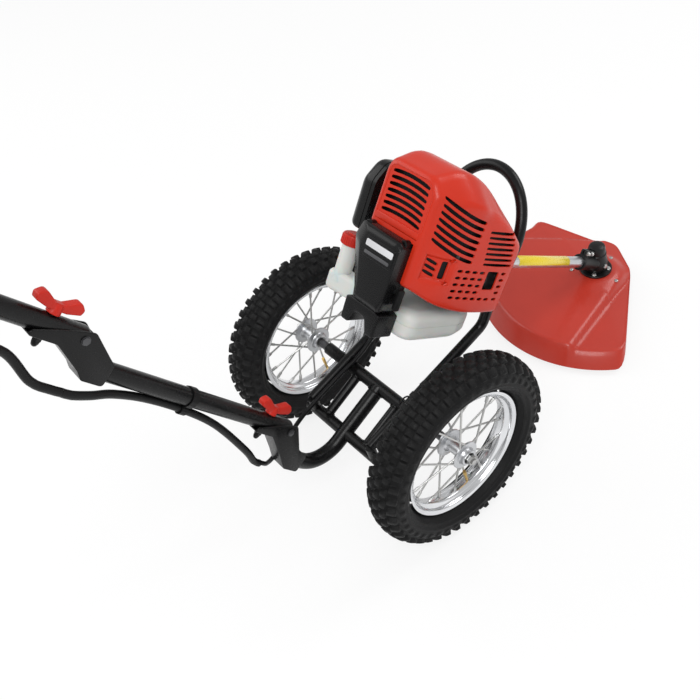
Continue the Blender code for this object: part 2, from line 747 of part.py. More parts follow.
# ---- Engine --------------------------------------------------------------------------------
def cover_body(inset):
    """The cover's outer form, or with an inset the space under it."""
    sections = []
    below = 0.030 if inset else 0.0
    for i, (u, top, top_end, side, shoulder, low) in enumerate(COVER_SECTIONS):
        if i == 0:
            u += inset
        if i == len(COVER_SECTIONS) - 1:
            u -= inset
        ring = (
            (COVER_LEFT + inset, COVER_SILL - below),
            (COVER_LEFT + inset, top - 0.020 - inset),
            (COVER_LEFT + 0.014 + inset, top - inset),
            (top_end - inset * 0.6, top - inset),
            (side - inset, shoulder - inset * 0.6),
            (side - inset, low - below),
            (COVER_INNER - below, low - below),
            (COVER_INNER - below, COVER_SILL - below),
        )
        sections.append([(x, u, z) for x, z in ring])
    return lofted(sections)


def softened(shape, radius, steps=2, least=25.0):
    """Round the edges that bend by more than the least angle, apart from those of the open underside."""
    bmesh.ops.recalc_face_normals(shape, faces=shape.faces)

    def is_open(face):
        within = face.normal.x < -0.7 and face.calc_center_median().x > 0
        return within or face.normal.z < -0.7

    sharp = [
        edge for edge in shape.edges
        if edge.calc_face_angle(0) > math.radians(least) and not any(map(is_open, edge.link_faces))
    ]
    bmesh.ops.bevel(
        shape, geom=sharp, offset=radius, segments=steps, profile=0.5, affect="EDGES", clamp_overlap=True
    )
    return shape


def rear_slots():
    """Bowed slots in the cover's rear face."""
    slots = []
    for i in range(REAR_SLOTS):
        z = REAR_SLOT_FIRST + i * REAR_SLOT_PITCH
        start = (REAR_SLOT_X - REAR_SLOT_WIDTH / 2, z)
        end = (REAR_SLOT_X + REAR_SLOT_WIDTH / 2, z)
        outline = arc_band(start, end, REAR_SLOT_SAG, REAR_SLOT_HEIGHT)
        slots.append(prism(outline, "Y", COVER_REAR - 0.010, COVER_REAR + 0.012))
    return slots


def side_slots():
    """Falling slots in the cover's muffler side, with straight slots and a grid ahead of them."""
    low, high = 0.078, 0.140
    slots = []
    for i in range(SIDE_SLOTS):
        z = SIDE_SLOT_FIRST + i * SIDE_SLOT_PITCH
        start = (SIDE_SLOT_U, z)
        end = (SIDE_SLOT_U + SIDE_SLOT_LENGTH, z - SIDE_SLOT_DROP)
        slots.append(prism(arc_band(start, end, -0.004, SIDE_SLOT_HEIGHT), "X", low, high))
    for i in range(FRONT_SLOTS):
        z = FRONT_SLOT_FIRST + i * FRONT_SLOT_PITCH
        u = (FRONT_SLOT_U, FRONT_SLOT_U + FRONT_SLOT_LENGTH)
        slots.append(block((low, high), u, (z, z + FRONT_SLOT_HEIGHT)))
    for row in range(GRID_ROWS):
        for column in range(GRID_COLUMNS):
            u = GRID_CORNER[0] + column * GRID_PITCH_U
            z = GRID_CORNER[1] + row * GRID_PITCH_V - 0.012
            slots.append(block((low, high), (u, u + GRID_SLOT[0]), (z, z + GRID_SLOT[1])))
    u0, u1, z0, z1 = EXHAUST_HOLE
    slots.append(block((low, high), (u0, u1), (z0, z1)))
    return slots


def engine_cover(parent):
    """Moulded red cover over the cylinder and the muffler, open below."""
    cover = add("engine_cover", softened(cover_body(0.0), COVER_ROUND), parent, "red_plastic")
    cut(cover, cover_body(COVER_WALL), merged(rear_slots() + side_slots()))


def crankcase(parent):
    """Crankcase with the finned cylinder on top, bored for the crankshaft."""
    case = add(
        "crankcase",
        rod(CRANKCASE_R, CRANKCASE_REAR, CASE_REAR - GAP, 20, "Y"),
        parent,
        "alloy",
    )
    u = (CYLINDER_MID_U - CYLINDER_HALF, CYLINDER_MID_U + CYLINDER_HALF)
    steps = int((CYLINDER_TOP - CRANKCASE_R) / FIN_PITCH)
    profile = [(-CYLINDER_HALF * 0.7, 0.0), (CYLINDER_HALF * 0.7, 0.0)]
    edge = []
    for i in range(steps):
        z = CRANKCASE_R + 0.004 + i * FIN_PITCH
        edge += [(CYLINDER_HALF * 0.7, z), (CYLINDER_HALF, z), (CYLINDER_HALF, z + 0.003)]
        edge.append((CYLINDER_HALF * 0.7, z + 0.003))
    profile += edge + [(-x, z) for x, z in reversed(edge)]
    fuse(case, prism(profile, "Y", *u))
    port = block((CYLINDER_HALF * 0.5, MUFFLER_X[0] - GAP), (-0.045, 0.005), (CRANKCASE_R, 0.066))
    intake = block((CARB_X[1] + GAP, -CYLINDER_HALF * 0.5), (-0.036, -0.004), (0.040, COVER_SILL - RUN_GAP))
    fuse(case, port, intake)
    cut(case, rod(CRANK_R + RUN_GAP, -0.070, CASE_REAR + 0.01, 12, "Y"))


def clutch_case(parent):
    """Fan and clutch case, tapering to the nose that holds the shaft tube."""
    bore = TUBE_R + GAP
    face = HOOP_U - MOUNT_THICK / 2 - GAP
    drum_front = DRUM_REAR + DRUM_LENGTH
    shell = turned(
        [
            (CASE_R, CASE_REAR),
            (CASE_R, CASE_FRONT),
            (FLANGE_FACE_R, face - 0.006),
            (FLANGE_FACE_R, face),
            (NECK_R, face),
            (NECK_R, face + MOUNT_THICK + 0.006),
            (NOSE_R, NOSE_U - 0.024),
            (NOSE_R, NOSE_U),
            (bore, NOSE_U),
            (bore, drum_front + 0.004),
            (DRUM_R + RUN_GAP * 2, drum_front + RUN_GAP),
            (DRUM_R + RUN_GAP * 2, DRUM_REAR - 0.004),
            (CASE_R - CASE_WALL, CASE_FRONT - 0.008),
            (CASE_R - CASE_WALL, CASE_REAR),
        ],
        20,
        "Y",
    )
    add("clutch_case", shell, parent, "dark_steel")


def rotating_crank(parent):
    """Crankshaft end with the finned flywheel, and the clutch that runs inside the drum."""
    crank = rod(CRANK_R, -0.060, DRUM_REAR + 0.016, 12, "Y")
    shaft = add("crankshaft", crank, parent, "steel")
    fuse(shaft, rod(CLUTCH_R, DRUM_REAR + 0.003, DRUM_REAR + 0.014, 16, "Y"))
    high = FLYWHEEL_REAR + FLYWHEEL_THICK
    disc = tube(FLYWHEEL_R, CRANK_R + GAP, FLYWHEEL_REAR, high - 0.006, 20, "Y")
    wheel_disc = add("flywheel", disc, parent, "alloy")
    fins = []
    for i in range(FIN_COUNT):
        fin = block((FLYWHEEL_R * 0.45, FLYWHEEL_R * 0.97), (high - 0.008, high), (-0.0015, 0.0015))
        fins.append(moved(fin, axis="Y", angle=2 * math.pi * i / FIN_COUNT))
    fuse(wheel_disc, merged(fins))


def drive_shaft(parent):
    """Clutch drum, long drive shaft and bevel pinion."""
    end = SHAFT_LENGTH - GEAR_CONE * math.cos(PINION_ANGLE) * 0.8
    front = DRUM_REAR + DRUM_LENGTH
    drum = turned(
        [
            (0.0, front - DRUM_WALL * 1.4),
            (DRUM_R - DRUM_WALL, front - DRUM_WALL * 1.4),
            (DRUM_R - DRUM_WALL, DRUM_REAR),
            (DRUM_R, DRUM_REAR),
            (DRUM_R, front),
            (DRIVE_R, front),
            (DRIVE_R, end),
            (0.0, end),
        ],
        16,
        "Y",
    )
    shaft = add("drive_shaft", drum, parent, "steel")
    pinion = bevel_gear(PINION_TEETH, PINION_ANGLE)
    fuse(shaft, moved(facing(pinion, "Y"), (0, SHAFT_LENGTH, 0)))


def bevel_gear(teeth, angle):
    """A bevel gear whose pitch cone has its point at the origin and opens towards -Z."""
    sections = []
    for distance in (GEAR_CONE * 0.62, GEAR_CONE):
        ring = []
        for i in range(teeth * 2):
            depth = TOOTH_DEPTH * (0.0 if i % 2 else 1.0) * distance / GEAR_CONE
            radius = distance * math.sin(angle) - depth
            turn = math.pi * i / teeth
            ring.append((radius * math.cos(turn), radius * math.sin(turn), -distance * math.cos(angle)))
        sections.append(ring)
    wide = sections[-1]
    sections.append([(x * 0.80, y * 0.80, z - 0.0040) for x, y, z in wide])
    return lofted(sections)


def shaft_tube(parent):
    """Alloy shaft tube with its yellow band."""
    rear = DRUM_REAR + DRUM_LENGTH + 0.008
    front = SHAFT_LENGTH - SOCKET_LENGTH * 0.45
    add("shaft_tube", tube(TUBE_R, TUBE_R - TUBE_WALL, rear, front, 16, "Y"), parent, "alloy")
    band_front = SHAFT_LENGTH - SOCKET_LENGTH - BAND_SHORT
    band = tube(TUBE_R + GAP + BAND_WALL, TUBE_R + GAP, BAND_REAR, band_front, 16, "Y")
    add("shaft_band", band, parent, "yellow")


def starter(parent):
    """Recoil starter housing, its pulley, and the pull handle on its rope."""
    def outline(inset):
        w, c = STARTER_HALF - inset, STARTER_CHAMFER
        low, high = STARTER_LOW + inset, STARTER_HIGH - inset
        return [
            (-w + c, low), (w - c, low), (w, low + c * 1.6), (w, high - c * 0.6),
            (w - c * 0.6, high), (-w + c * 0.6, high), (-w, high - c * 0.6), (-w, low + c * 1.6),
        ]
    rings = []
    for u, inset in ((STARTER_FRONT, 0.0), (STARTER_BACK + 0.014, 0.0), (STARTER_BACK, 0.012)):
        rings.append([(x, u, z) for x, z in outline(inset)])
    housing = add("starter_housing", lofted(rings), parent, "black_plastic")
    room = tube(PULLEY_R + RUN_GAP, PULLEY_POST_R, STARTER_CAVITY_U, STARTER_FRONT + 0.01, 20, "Y")
    cut(housing, room)
    low = STARTER_CAVITY_U + RUN_GAP
    drum = tube(PULLEY_R, PULLEY_POST_R + GAP, low, low + PULLEY_THICK, 16, "Y")
    add("starter_pulley", drum, parent, "black_plastic")
    grip = turned(
        [
            (0.0, 0.0), (PULL_R * 0.55, 0.0), (PULL_R, 0.005), (PULL_R, 0.013), (PULL_R * 0.5, 0.018),
            (0.0, 0.018),
        ],
        10,
        "X",
    )
    bar = add("starter_handle", grip, parent, "black_plastic", (STARTER_HALF + GAP, PULL_U, PULL_V))
    fuse(bar, rounded_block((0.006, 0.016), (-0.007, 0.007), (-PULL_LENGTH / 2, PULL_LENGTH / 2), 0.003, 1))


def muffler(parent):
    """Muffler box with its outlet behind the cover's opening."""
    box = rounded_block(MUFFLER_X, MUFFLER_U, MUFFLER_V, 0.008, 1)
    made = add("muffler", box, parent, "dark_steel")
    u0, u1, z0, z1 = EXHAUST_HOLE
    centre = ((u0 + u1) / 2, (z0 + z1) / 2)
    outlet = moved(rod(OUTLET_R, 0, 0.018, 12, "X"), (MUFFLER_X[1] - 0.006, *centre))
    fuse(made, outlet)
    cut(made, moved(rod(OUTLET_R - 0.0015, 0, 0.030, 12, "X"), (MUFFLER_X[1] - 0.004, *centre)))


def intake(parent):
    """Carburettor with its choke lever and primer bulb, and the air filter's cover."""
    carb = add("carburettor", rounded_block(CARB_X, CARB_U, CARB_V, 0.003, 1), parent, "alloy")
    bowl = moved(rod(0.012, -0.010, 0.0, 12), (sum(CARB_X) / 2, sum(CARB_U) / 2, CARB_V[0] + 0.002))
    fuse(carb, bowl)
    bulb = turned([(0.0, 0.0), (0.009, 0.0), (0.009, 0.003), (0.006, 0.009), (0.0, 0.009)], 10)
    place = (sum(CARB_X) / 2, sum(CARB_U) / 2, CARB_V[0] - 0.0083)
    add("primer_bulb", moved(bulb, axis="X", angle=math.pi), parent, "black_plastic", place)
    x0, x1 = FILTER_X
    lean = FILTER_LEAN
    rings = []
    for x, inset in ((x1, 0.0), (x0 + 0.012, 0.0), (x0, 0.012)):
        u0, u1 = FILTER_U[0] + inset, FILTER_U[1] - inset
        z0, z1 = FILTER_V[0] + inset, FILTER_V[1] - inset
        ring = [(u0 + 0.008, z0), (u1 - 0.008, z0), (u1, z0 + 0.008), (u1, z1 - 0.03)]
        ring += [(u1 - 0.03, z1), (u0 + lean, z1), (u0, z1 - lean), (u0, z0 + 0.008)]
        rings.append([(x, u, z) for u, z in ring])
    add("air_filter_cover", lofted(rings), parent, "black_plastic")
    lever = tube(0.006, 0.0022, 0.0, 0.004, 10, "Y")
    pivot = (CARB_X[0] + 0.008, CARB_U[0] - 0.0043, CARB_V[0] + 0.012)
    arm = add("choke_lever", lever, parent, "black_plastic", pivot)
    fuse(arm, block((-0.003, 0.003), (0.0, 0.004), (-0.030, -0.005)))
    pin = moved(rod(0.0018, -0.006, 0.004, 8, "Y"), (pivot[0], CARB_U[0], pivot[2]))
    fuse(carb, pin)


def fuel_tank(parent):
    """Moulded tank under the engine, with the filler neck on its left arm, and its cap."""
    body = rounded_block(TANK_X, TANK_U, TANK_V, TANK_ROUND, 2)
    tank = add("fuel_tank", body, parent, "white_plastic")
    arm = rounded_block(
        (FILLER_X - 0.022, TANK_X[0] + 0.03), (FILLER_U - 0.022, FILLER_U + 0.028),
        (TANK_V[0] + 0.008, TANK_V[1] - 0.012), 0.010, 1,
    )
    neck = moved(rod(FILLER_R, TANK_V[0] + 0.03, FILLER_TOP, 16), (FILLER_X, FILLER_U, 0))
    fuse(tank, arm, neck)
    mouth = moved(rod(FILLER_R - 0.004, FILLER_TOP - 0.020, FILLER_TOP + 0.01, 14), (FILLER_X, FILLER_U, 0))
    cut(tank, mouth)
    grip = turned(
        [
            (0.0, 0.0), (CAP_R, 0.0), (CAP_R, CAP_HEIGHT * 0.8), (CAP_R * 0.88, CAP_HEIGHT),
            (0.0, CAP_HEIGHT),
        ],
        14,
    )
    cap = add("fuel_cap", grip, parent, "red_plastic", (FILLER_X, FILLER_U, FILLER_TOP + GAP))
    fuse(cap, rod(FILLER_R - 0.005, -0.010, 0.002, 12))


def engine_foot(parent):
    """Black stand under the starter that shields the tank's rear."""
    high = STARTER_LOW - GAP
    rear, front = STARTER_BACK + 0.012, TANK_U[0] - GAP
    outline = [
        (-FOOT_HALF, high - 0.004), (-FOOT_HALF, FOOT_LOW), (-FOOT_HALF + 0.022, FOOT_LOW),
        (-FOOT_HALF + 0.036, high - 0.022), (FOOT_HALF - 0.036, high - 0.022),
        (FOOT_HALF - 0.022, FOOT_LOW), (FOOT_HALF, FOOT_LOW), (FOOT_HALF, high - 0.004),
        (FOOT_HALF - 0.012, high), (-FOOT_HALF + 0.012, high),
    ]
    add("engine_foot", prism(outline, "Y", rear, front), parent, "black_plastic")


# ---- Cutter head ---------------------------------------------------------------------------
def gear_head(parent):
    """Gear head casting: a ball on the shaft socket, with the spindle's neck and flange."""
    ball = turned(
        [
            (0.0, HEAD_TOP), (0.012, HEAD_TOP), (HEAD_R * 0.8, HEAD_TOP * 0.72), (HEAD_R, 0.006),
            (HEAD_R, -0.010), (HEAD_NECK_R, HEAD_FLANGE_LOW + HEAD_FLANGE_THICK),
            (HEAD_FLANGE_R, HEAD_FLANGE_LOW + HEAD_FLANGE_THICK), (HEAD_FLANGE_R, HEAD_FLANGE_LOW),
            (HEAD_NECK_R, HEAD_FLANGE_LOW), (HEAD_NECK_R, HEAD_NECK_LOW), (0.0, HEAD_NECK_LOW),
        ],
        18,
    )
    head = add("gear_head", ball, parent, "black_paint")

    def along_line(shape):
        return moved(shape, axis="X", angle=-SHAFT_SLOPE)

    socket = along_line(rod(SOCKET_R, -SOCKET_LENGTH, 0.004, 14, "Y"))
    lug = block((-0.007, 0.007), (-SOCKET_LENGTH + 0.002, -0.040), (SOCKET_R - 0.003, SOCKET_R + 0.012))
    fuse(head, socket, along_line(lug))
    tube_end = -SOCKET_LENGTH * 0.45 + GAP
    cut(head, along_line(bore(TUBE_R, -SOCKET_LENGTH - 0.01, tube_end, 16, "Y")))
    pinion_room = GEAR_CONE * math.sin(PINION_ANGLE) + RUN_GAP
    cut(head, along_line(rod(pinion_room - 0.0006, tube_end - 0.01, -0.002, 14, "Y")))
    gear_room = GEAR_CONE * math.sin(GEAR_ANGLE) + RUN_GAP
    cut(head, rod(gear_room, HEAD_NECK_LOW - 0.01, 0.004, 16))


def cutter(parent):
    """Spindle with its bevel gear and flange, the blade, the skid cup and the nut."""
    top = BLADE_Z + BLADE_THICK + GAP
    profile = [
        (0.0, -0.004), (SPINDLE_R, -0.004), (SPINDLE_R, top + 0.016), (0.012, top + 0.016),
        (0.012, top + 0.008), (FLANGE_R, top + 0.005), (FLANGE_R, top), (SPINDLE_R, top),
        (SPINDLE_R, BLADE_Z - 0.020), (0.0, BLADE_Z - 0.020),
    ]
    spindle = add("cutter_spindle", turned(profile, 16), parent, "steel")
    fuse(spindle, bevel_gear(GEAR_TEETH, GEAR_ANGLE))
    points = []
    for i in range(BLADE_TEETH):
        for step, radius in BLADE_STEPS:
            angle = BLADE_TURN + 2 * math.pi * (i + step) / BLADE_TEETH
            points.append((radius * math.cos(angle), radius * math.sin(angle)))
    blade = add("blade", prism(points, "Z", BLADE_Z, BLADE_Z + BLADE_THICK), parent, "steel")
    cut(blade, bore(SPINDLE_R, BLADE_Z - 0.01, BLADE_Z + 0.01, 12))
    low = -HEAD_GROUND
    cup = turned(
        [
            (SPINDLE_R + GAP, BLADE_Z - GAP), (CUP_R * 0.55, BLADE_Z - GAP),
            (CUP_R, low + 0.016), (CUP_R * 0.96, low + 0.006), (CUP_R * 0.70, low),
            (SPINDLE_NUT_R + 0.006, low), (SPINDLE_NUT_R + 0.006, low + CUP_WALL),
            (CUP_R * 0.70, low + CUP_WALL), (CUP_R - CUP_WALL - 0.002, low + 0.014),
            (CUP_R * 0.50, BLADE_Z - GAP - CUP_WALL), (SPINDLE_R + GAP, BLADE_Z - GAP - CUP_WALL),
        ],
        16,
    )
    add("skid_cup", cup, parent, "dark_steel")
    nut_top = BLADE_Z - GAP * 2 - CUP_WALL
    nut = hex_nut(SPINDLE_NUT_R, SPINDLE_R, nut_top - 0.009, nut_top)
    add("spindle_nut", nut, parent, "steel")


def guard_edge(angle):
    """Distance from the spindle to the guard's top edge in this direction, and whether it has a skirt."""
    direction = Vector((math.cos(angle), math.sin(angle)))
    corners = (GUARD_LEFT_TIP, GUARD_FRONT_LEFT, GUARD_FRONT_RIGHT, GUARD_RIGHT_TIP)
    best = None
    for first, second in zip(corners, corners[1:]):
        a, b = Vector(first), Vector(second)
        edge = b - a
        cross = direction.x * edge.y - direction.y * edge.x
        if abs(cross) < 1e-9:
            continue
        reach = (a.x * edge.y - a.y * edge.x) / cross
        share = (a.x * direction.y - a.y * direction.x) / cross
        if reach > 0 and -1e-6 <= share <= 1 + 1e-6:
            best = reach
    if best is None:
        return GUARD_TOP_R, True
    return best, False


def guard_angles():
    """Directions of the guard's rays: even ones, with one on each corner of the outline."""
    corners = [
        math.atan2(p[1], p[0])
        for p in (GUARD_RIGHT_TIP, GUARD_FRONT_RIGHT, GUARD_FRONT_LEFT, GUARD_LEFT_TIP)
    ]
    corners.append(corners[0] + 2 * math.pi)
    angles = []
    for start, end in zip(corners, corners[1:]):
        count = max(2, round(GUARD_RAYS * (end - start) / (2 * math.pi)))
        angles += [start + (end - start) * i / count for i in range(count)]
    return angles


def fan_share(angle):
    """How far a direction lies inside the raised fan: 0 outside, 1 inside."""
    start, end = GUARD_FAN[1], GUARD_FAN[0]
    turn = angle
    while turn > start + 2 * math.pi:
        turn -= 2 * math.pi
    while turn < start:
        turn += 2 * math.pi
    edge = math.radians(9.0)
    inside = min(turn - start, end - turn)
    return max(0.0, min(1.0, inside / edge))


def guard_rings(drop):
    """The guard's surface as rings from the hub outwards, lowered and drawn in by the wall."""
    hub_z = HEAD_FLANGE_LOW - GAP
    rings = [[] for _ in range(6)]
    for angle in guard_angles():
        reach, skirted = guard_edge(angle)
        share = fan_share(angle)
        direction = Vector((math.cos(angle), math.sin(angle), 0))
        top = GUARD_FLAT_Z + GUARD_RAISE * 0.45 * share
        mid = GUARD_FLAT_Z + GUARD_RAISE * (0.25 + 0.65 * share)
        edge = reach - drop if skirted else reach
        rings[0].append(direction * GUARD_HUB_R + Vector((0, 0, hub_z - drop)))
        rings[1].append(direction * (HEAD_FLANGE_R + 0.002) + Vector((0, 0, hub_z - drop)))
        inner = HEAD_FLANGE_R + 0.30 * (reach - HEAD_FLANGE_R)
        rings[2].append(direction * inner + Vector((0, 0, mid - drop)))
        rings[3].append(direction * (edge * 0.985) + Vector((0, 0, top - drop)))
        if skirted:
            spread = (GUARD_BOTTOM_R - GUARD_TOP_R) * 0.35
            rings[4].append(direction * (edge + spread) + Vector((0, 0, top - 0.010)))
            rings[5].append(
                direction * (GUARD_BOTTOM_R - drop) + Vector((0, 0, GUARD_FLAT_Z - GUARD_SKIRT))
            )
        else:
            lip = reach + 0.0015 - drop
            rings[4].append(direction * (lip - 0.001) + Vector((0, 0, top - 0.0012)))
            rings[5].append(direction * lip + Vector((0, 0, top - GUARD_LIP)))
    return rings


def guard(parent):
    """Fan-shaped guard: raised ribs from the hub, flat wings and a flared skirt behind."""
    outer = guard_rings(0.0)
    inner = guard_rings(GUARD_WALL)
    sections = outer + list(reversed(inner))
    shape = bmesh.new()
    rows = [[shape.verts.new(point) for point in ring] for ring in sections]
    count = len(rows[0])
    for first, second in zip(rows, rows[1:] + rows[:1]):
        for i in range(count):
            j = (i + 1) % count
            shape.faces.new((first[i], first[j], second[j], second[i]))
    add("guard", shape, parent, "guard_red")


# ---- Handle --------------------------------------------------------------------------------
def bracket(name, parent, step_y, step_z):
    """A folded channel under a stem, stepping down to the tube that carries it.

    Its own Y runs down the slope, with the fold pin at the origin, and its Z points across.
    """
    inside = STEM_R + GAP
    half = inside + BRACKET_WALL
    floor = -inside - BRACKET_WALL
    low, high = step_z - BRACKET_TAIL, step_z + BRACKET_TAIL
    outline = [
        (-BRACKET_LENGTH, floor), (-BRACKET_LENGTH, floor + 0.009), (-BRACKET_LENGTH + 0.040, 0.003),
        (-0.008, 0.011), (0.010, 0.010), (0.021, -0.004), (step_y - 0.006, high), (step_y, high),
        (step_y, low), (step_y - 0.020, low), (-0.004, floor),
    ]
    made = add(name, prism(outline, "X", -half, half), parent, "black_paint")
    channel = block((-inside, inside), (-BRACKET_LENGTH - 0.01, 0), (-inside, 0.05))
    folded = moved(block((-inside, inside), (-BRACKET_LENGTH, 0), (-inside, inside)), axis="X", angle=-FOLD_LIMIT)
    cut(made, channel, rod(inside, -inside, inside, 20, "X"))
    cut(made, folded)
    cut(made, bore(PIN_R, -0.04, 0.04, 8, "X"))
    hollow = BRACKET_TAIL - BRACKET_WALL
    room = (step_z - hollow, step_z + hollow)
    cut(made, block((-inside + 0.002, inside - 0.002), (0.024, step_y + 0.01), room))
    nut = moved(rod(0.0065, floor - 0.012, floor + 0.001, 6), (0, -CLAMP_OFFSET, 0))
    dome = moved(rod(0.0045, floor - 0.024, floor - 0.010, 8), (0, -CLAMP_OFFSET, 0))
    fuse(made, nut, dome)


def stem(name, parent, length):
    """A stem tube from its rounded foot on the fold pin up to its open top."""
    profile = [(0.0, -STEM_R)]
    for i in range(1, 4):
        angle = math.pi / 2 * i / 4
        profile.append((STEM_R * math.sin(angle), -STEM_R * math.cos(angle)))
    profile += [(STEM_R, 0.0), (STEM_R, length)]
    profile += [(STEM_R - STEM_WALL, length), (STEM_R - STEM_WALL, PIN_HEAD_R), (0.0, PIN_HEAD_R)]
    made = add(name, moved(turned(profile, 14), axis="X", angle=math.pi / 2), parent, "black_paint")
    cut(made, bore(PIN_R, -0.04, 0.04, 8, "X"))
    cut(made, moved(bore(PIN_R, -0.04, 0.04, 8), (0, -CLAMP_OFFSET, 0)))


def pin(name, parent):
    """Fold pin with a head at each end."""
    seat = STEM_R + GAP + BRACKET_WALL + GAP
    profile = [
        (0.0, -seat - PIN_HEAD), (PIN_HEAD_R, -seat - PIN_HEAD), (PIN_HEAD_R, -seat), (PIN_R, -seat),
        (PIN_R, seat), (PIN_HEAD_R, seat), (PIN_HEAD_R, seat + PIN_HEAD), (0.0, seat + PIN_HEAD),
    ]
    add(name, turned(profile, 8, "X"), parent, "dark_steel")


def wing_knob(name, parent):
    """Red butterfly knob on its screw, which ends on the bracket's seat."""
    top = KNOB_HEIGHT * 0.55
    hub = turned([(0.0, 0.0), (KNOB_HUB_R, 0.0), (KNOB_HUB_R * 0.9, top), (0.0, top)], 10)
    knob = add(name, hub, parent, "red_plastic", (0, -CLAMP_OFFSET, STEM_R + GAP))
    half = [
        (0.40, 0.18), (0.94, 0.36), (1.00, 0.66), (0.74, 1.00), (0.22, 0.62),
    ]
    outline = [(-KNOB_SPAN * a, KNOB_HEIGHT * b) for a, b in half]
    outline = [(KNOB_SPAN * a, KNOB_HEIGHT * b) for a, b in half] + outline[::-1]
    wings = prism(outline, "X", -KNOB_WING / 2, KNOB_WING / 2)
    fuse(knob, wings, rod(PIN_R, -STEM_R * 2 - GAP, 0.004, 8))


def bar_points():
    """The right half of the handlebar, in the upper stem's frame."""
    middle = Vector((0, -(UPPER_STEM_TOP - UPPER_PIVOT_S) - BAR_R, 0))
    return [middle] + [middle + Vector(corner) for corner in BAR_CORNERS]


def grip_frame(side):
    """Place and turn of a grip: its Z runs out along the bar's end."""
    start, end = bar_points()[-2:]
    start = Vector((side * start.x, start.y, start.z))
    end = Vector((side * end.x, end.y, end.z))
    ahead = (end - start).normalized()
    across = Vector((0, 0, 1)).cross(ahead).normalized() * side
    turn = Matrix((across, ahead.cross(across), ahead)).transposed()
    return end - ahead * GRIP_LENGTH, turn.to_euler()


def handlebar(parent):
    """Bent handlebar in its clamp, with a grip at each end."""
    right = bent(bar_points(), BAR_BEND, 3)
    left = [Vector((-x, y, z)) for x, y, z in reversed(right[1:])]
    add("handlebar", swept(left + right, BAR_R, 10), parent, "black_paint")
    top = UPPER_STEM_TOP - UPPER_PIVOT_S
    clamp = rounded_block(
        (-0.030, 0.030), (-top - BAR_R * 2 - 0.006, -top + 0.030), (-0.021, 0.021), 0.005, 1
    )
    made = add("bar_clamp", clamp, parent, "black_plastic")
    cut(made, moved(bore(BAR_R, -0.05, 0.05, 10, "X"), (0, -top - BAR_R, 0)))
    cut(made, moved(bore(STEM_R, top - 0.05, top + GAP, 14), axis="X", angle=math.pi / 2))


def grip(word, parent):
    """Rubber grip with a flange at its inner end and a closed outer end."""
    inner, end = (BAR_R + GAP) / math.cos(math.pi / 12), GRIP_LENGTH + GAP
    profile = [
        (0.0, end + 0.003), (GRIP_R * 0.85, end + 0.003), (GRIP_R, end - 0.003), (GRIP_R, 0.006),
        (GRIP_R + 0.004, 0.005), (GRIP_R + 0.004, 0.0), (inner, 0.0), (inner, end), (0.0, end),
    ]
    add(f"grip_{word}", turned(profile, 12), parent, "black_plastic")


def throttle(parent):
    """Throttle housing beside the right grip, with its trigger, lock lever and stop switch."""
    low, high = -THROTTLE_LENGTH - GAP, -GAP
    body = rounded_block((-0.017, 0.017), (-0.019, 0.019), (low, high), 0.005, 1)
    housing = add("throttle_housing", body, parent, "black_plastic")
    cut(housing, bore(BAR_R, low - 0.01, high + 0.01, 10))
    for y in (-LEVER_Y, LEVER_Y):
        for x in ((-0.011, -0.0075), (0.0075, 0.011)):
            fuse(housing, block(x, sorted((y * 0.75, y * 1.18)), (high - 0.020, high - 0.004)))
        fuse(housing, moved(rod(LEVER_PIN_R, -0.009, 0.009, 8, "X"), (0, y, high - 0.012)))
    for name, y, reach, thick, drop in (
        ("throttle_trigger", LEVER_Y, 0.070, 0.012, 0.010),
        ("lock_lever", -LEVER_Y, 0.046, 0.010, 0.005),
    ):
        way = 1 if y > 0 else -1
        outline = [
            (-0.003 * way, -0.0045), (0.004 * way, -0.0045), (0.005 * way, 0.004),
            ((drop + 0.002) * way, reach * 0.5), (drop * way, reach), ((drop - 0.006) * way, reach),
            ((drop - 0.005) * way, reach * 0.5), (-0.002 * way, 0.006),
        ]
        place = (0, y, high - 0.012)
        lever = add(name, prism(outline, "X", -thick / 2, thick / 2), parent, "black_plastic", place)
        cut(lever, bore(LEVER_PIN_R, -0.02, 0.02, 8, "X"))
    switch = rounded_block((0, 0.004), (-0.005, 0.005), (-0.004, 0.004), 0.001, 1)
    add("stop_switch", switch, parent, "red_plastic", (0.017 + GAP, 0, low + 0.018))


def cable(name, parent, points, radius):
    """A cable along a smooth curve through its points."""
    path = []
    last = len(points) - 1
    for i in range(last):
        p0, p1 = Vector(points[max(i - 1, 0)]), Vector(points[i])
        p2, p3 = Vector(points[i + 1]), Vector(points[min(i + 2, last)])
        steps = max(1, round((p2 - p1).length / (CABLE_STEP * radius * 2)))
        for k in range(steps):
            t = k / steps
            line = (p2 - p0) * t + 2 * p1
            bow = (2 * p0 - 5 * p1 + 4 * p2 - p3) * t ** 2 + (3 * p1 - p0 - 3 * p2 + p3) * t ** 3
            path.append((line + bow) / 2)
    path.append(Vector(points[-1]))
    curve = bpy.data.curves.new(name, "CURVE")
    curve.dimensions = "3D"
    curve.bevel_depth = radius
    curve.bevel_resolution = 2
    curve.use_fill_caps = True
    spline = curve.splines.new("POLY")
    spline.points.add(len(path) - 1)
    for point, place in zip(spline.points, path):
        point.co = (*place, 1.0)
    curve.materials.append(finish("black_plastic"))
    made = bpy.data.objects.new(name, curve)
    bpy.context.scene.collection.objects.link(made)
    made.parent = parent


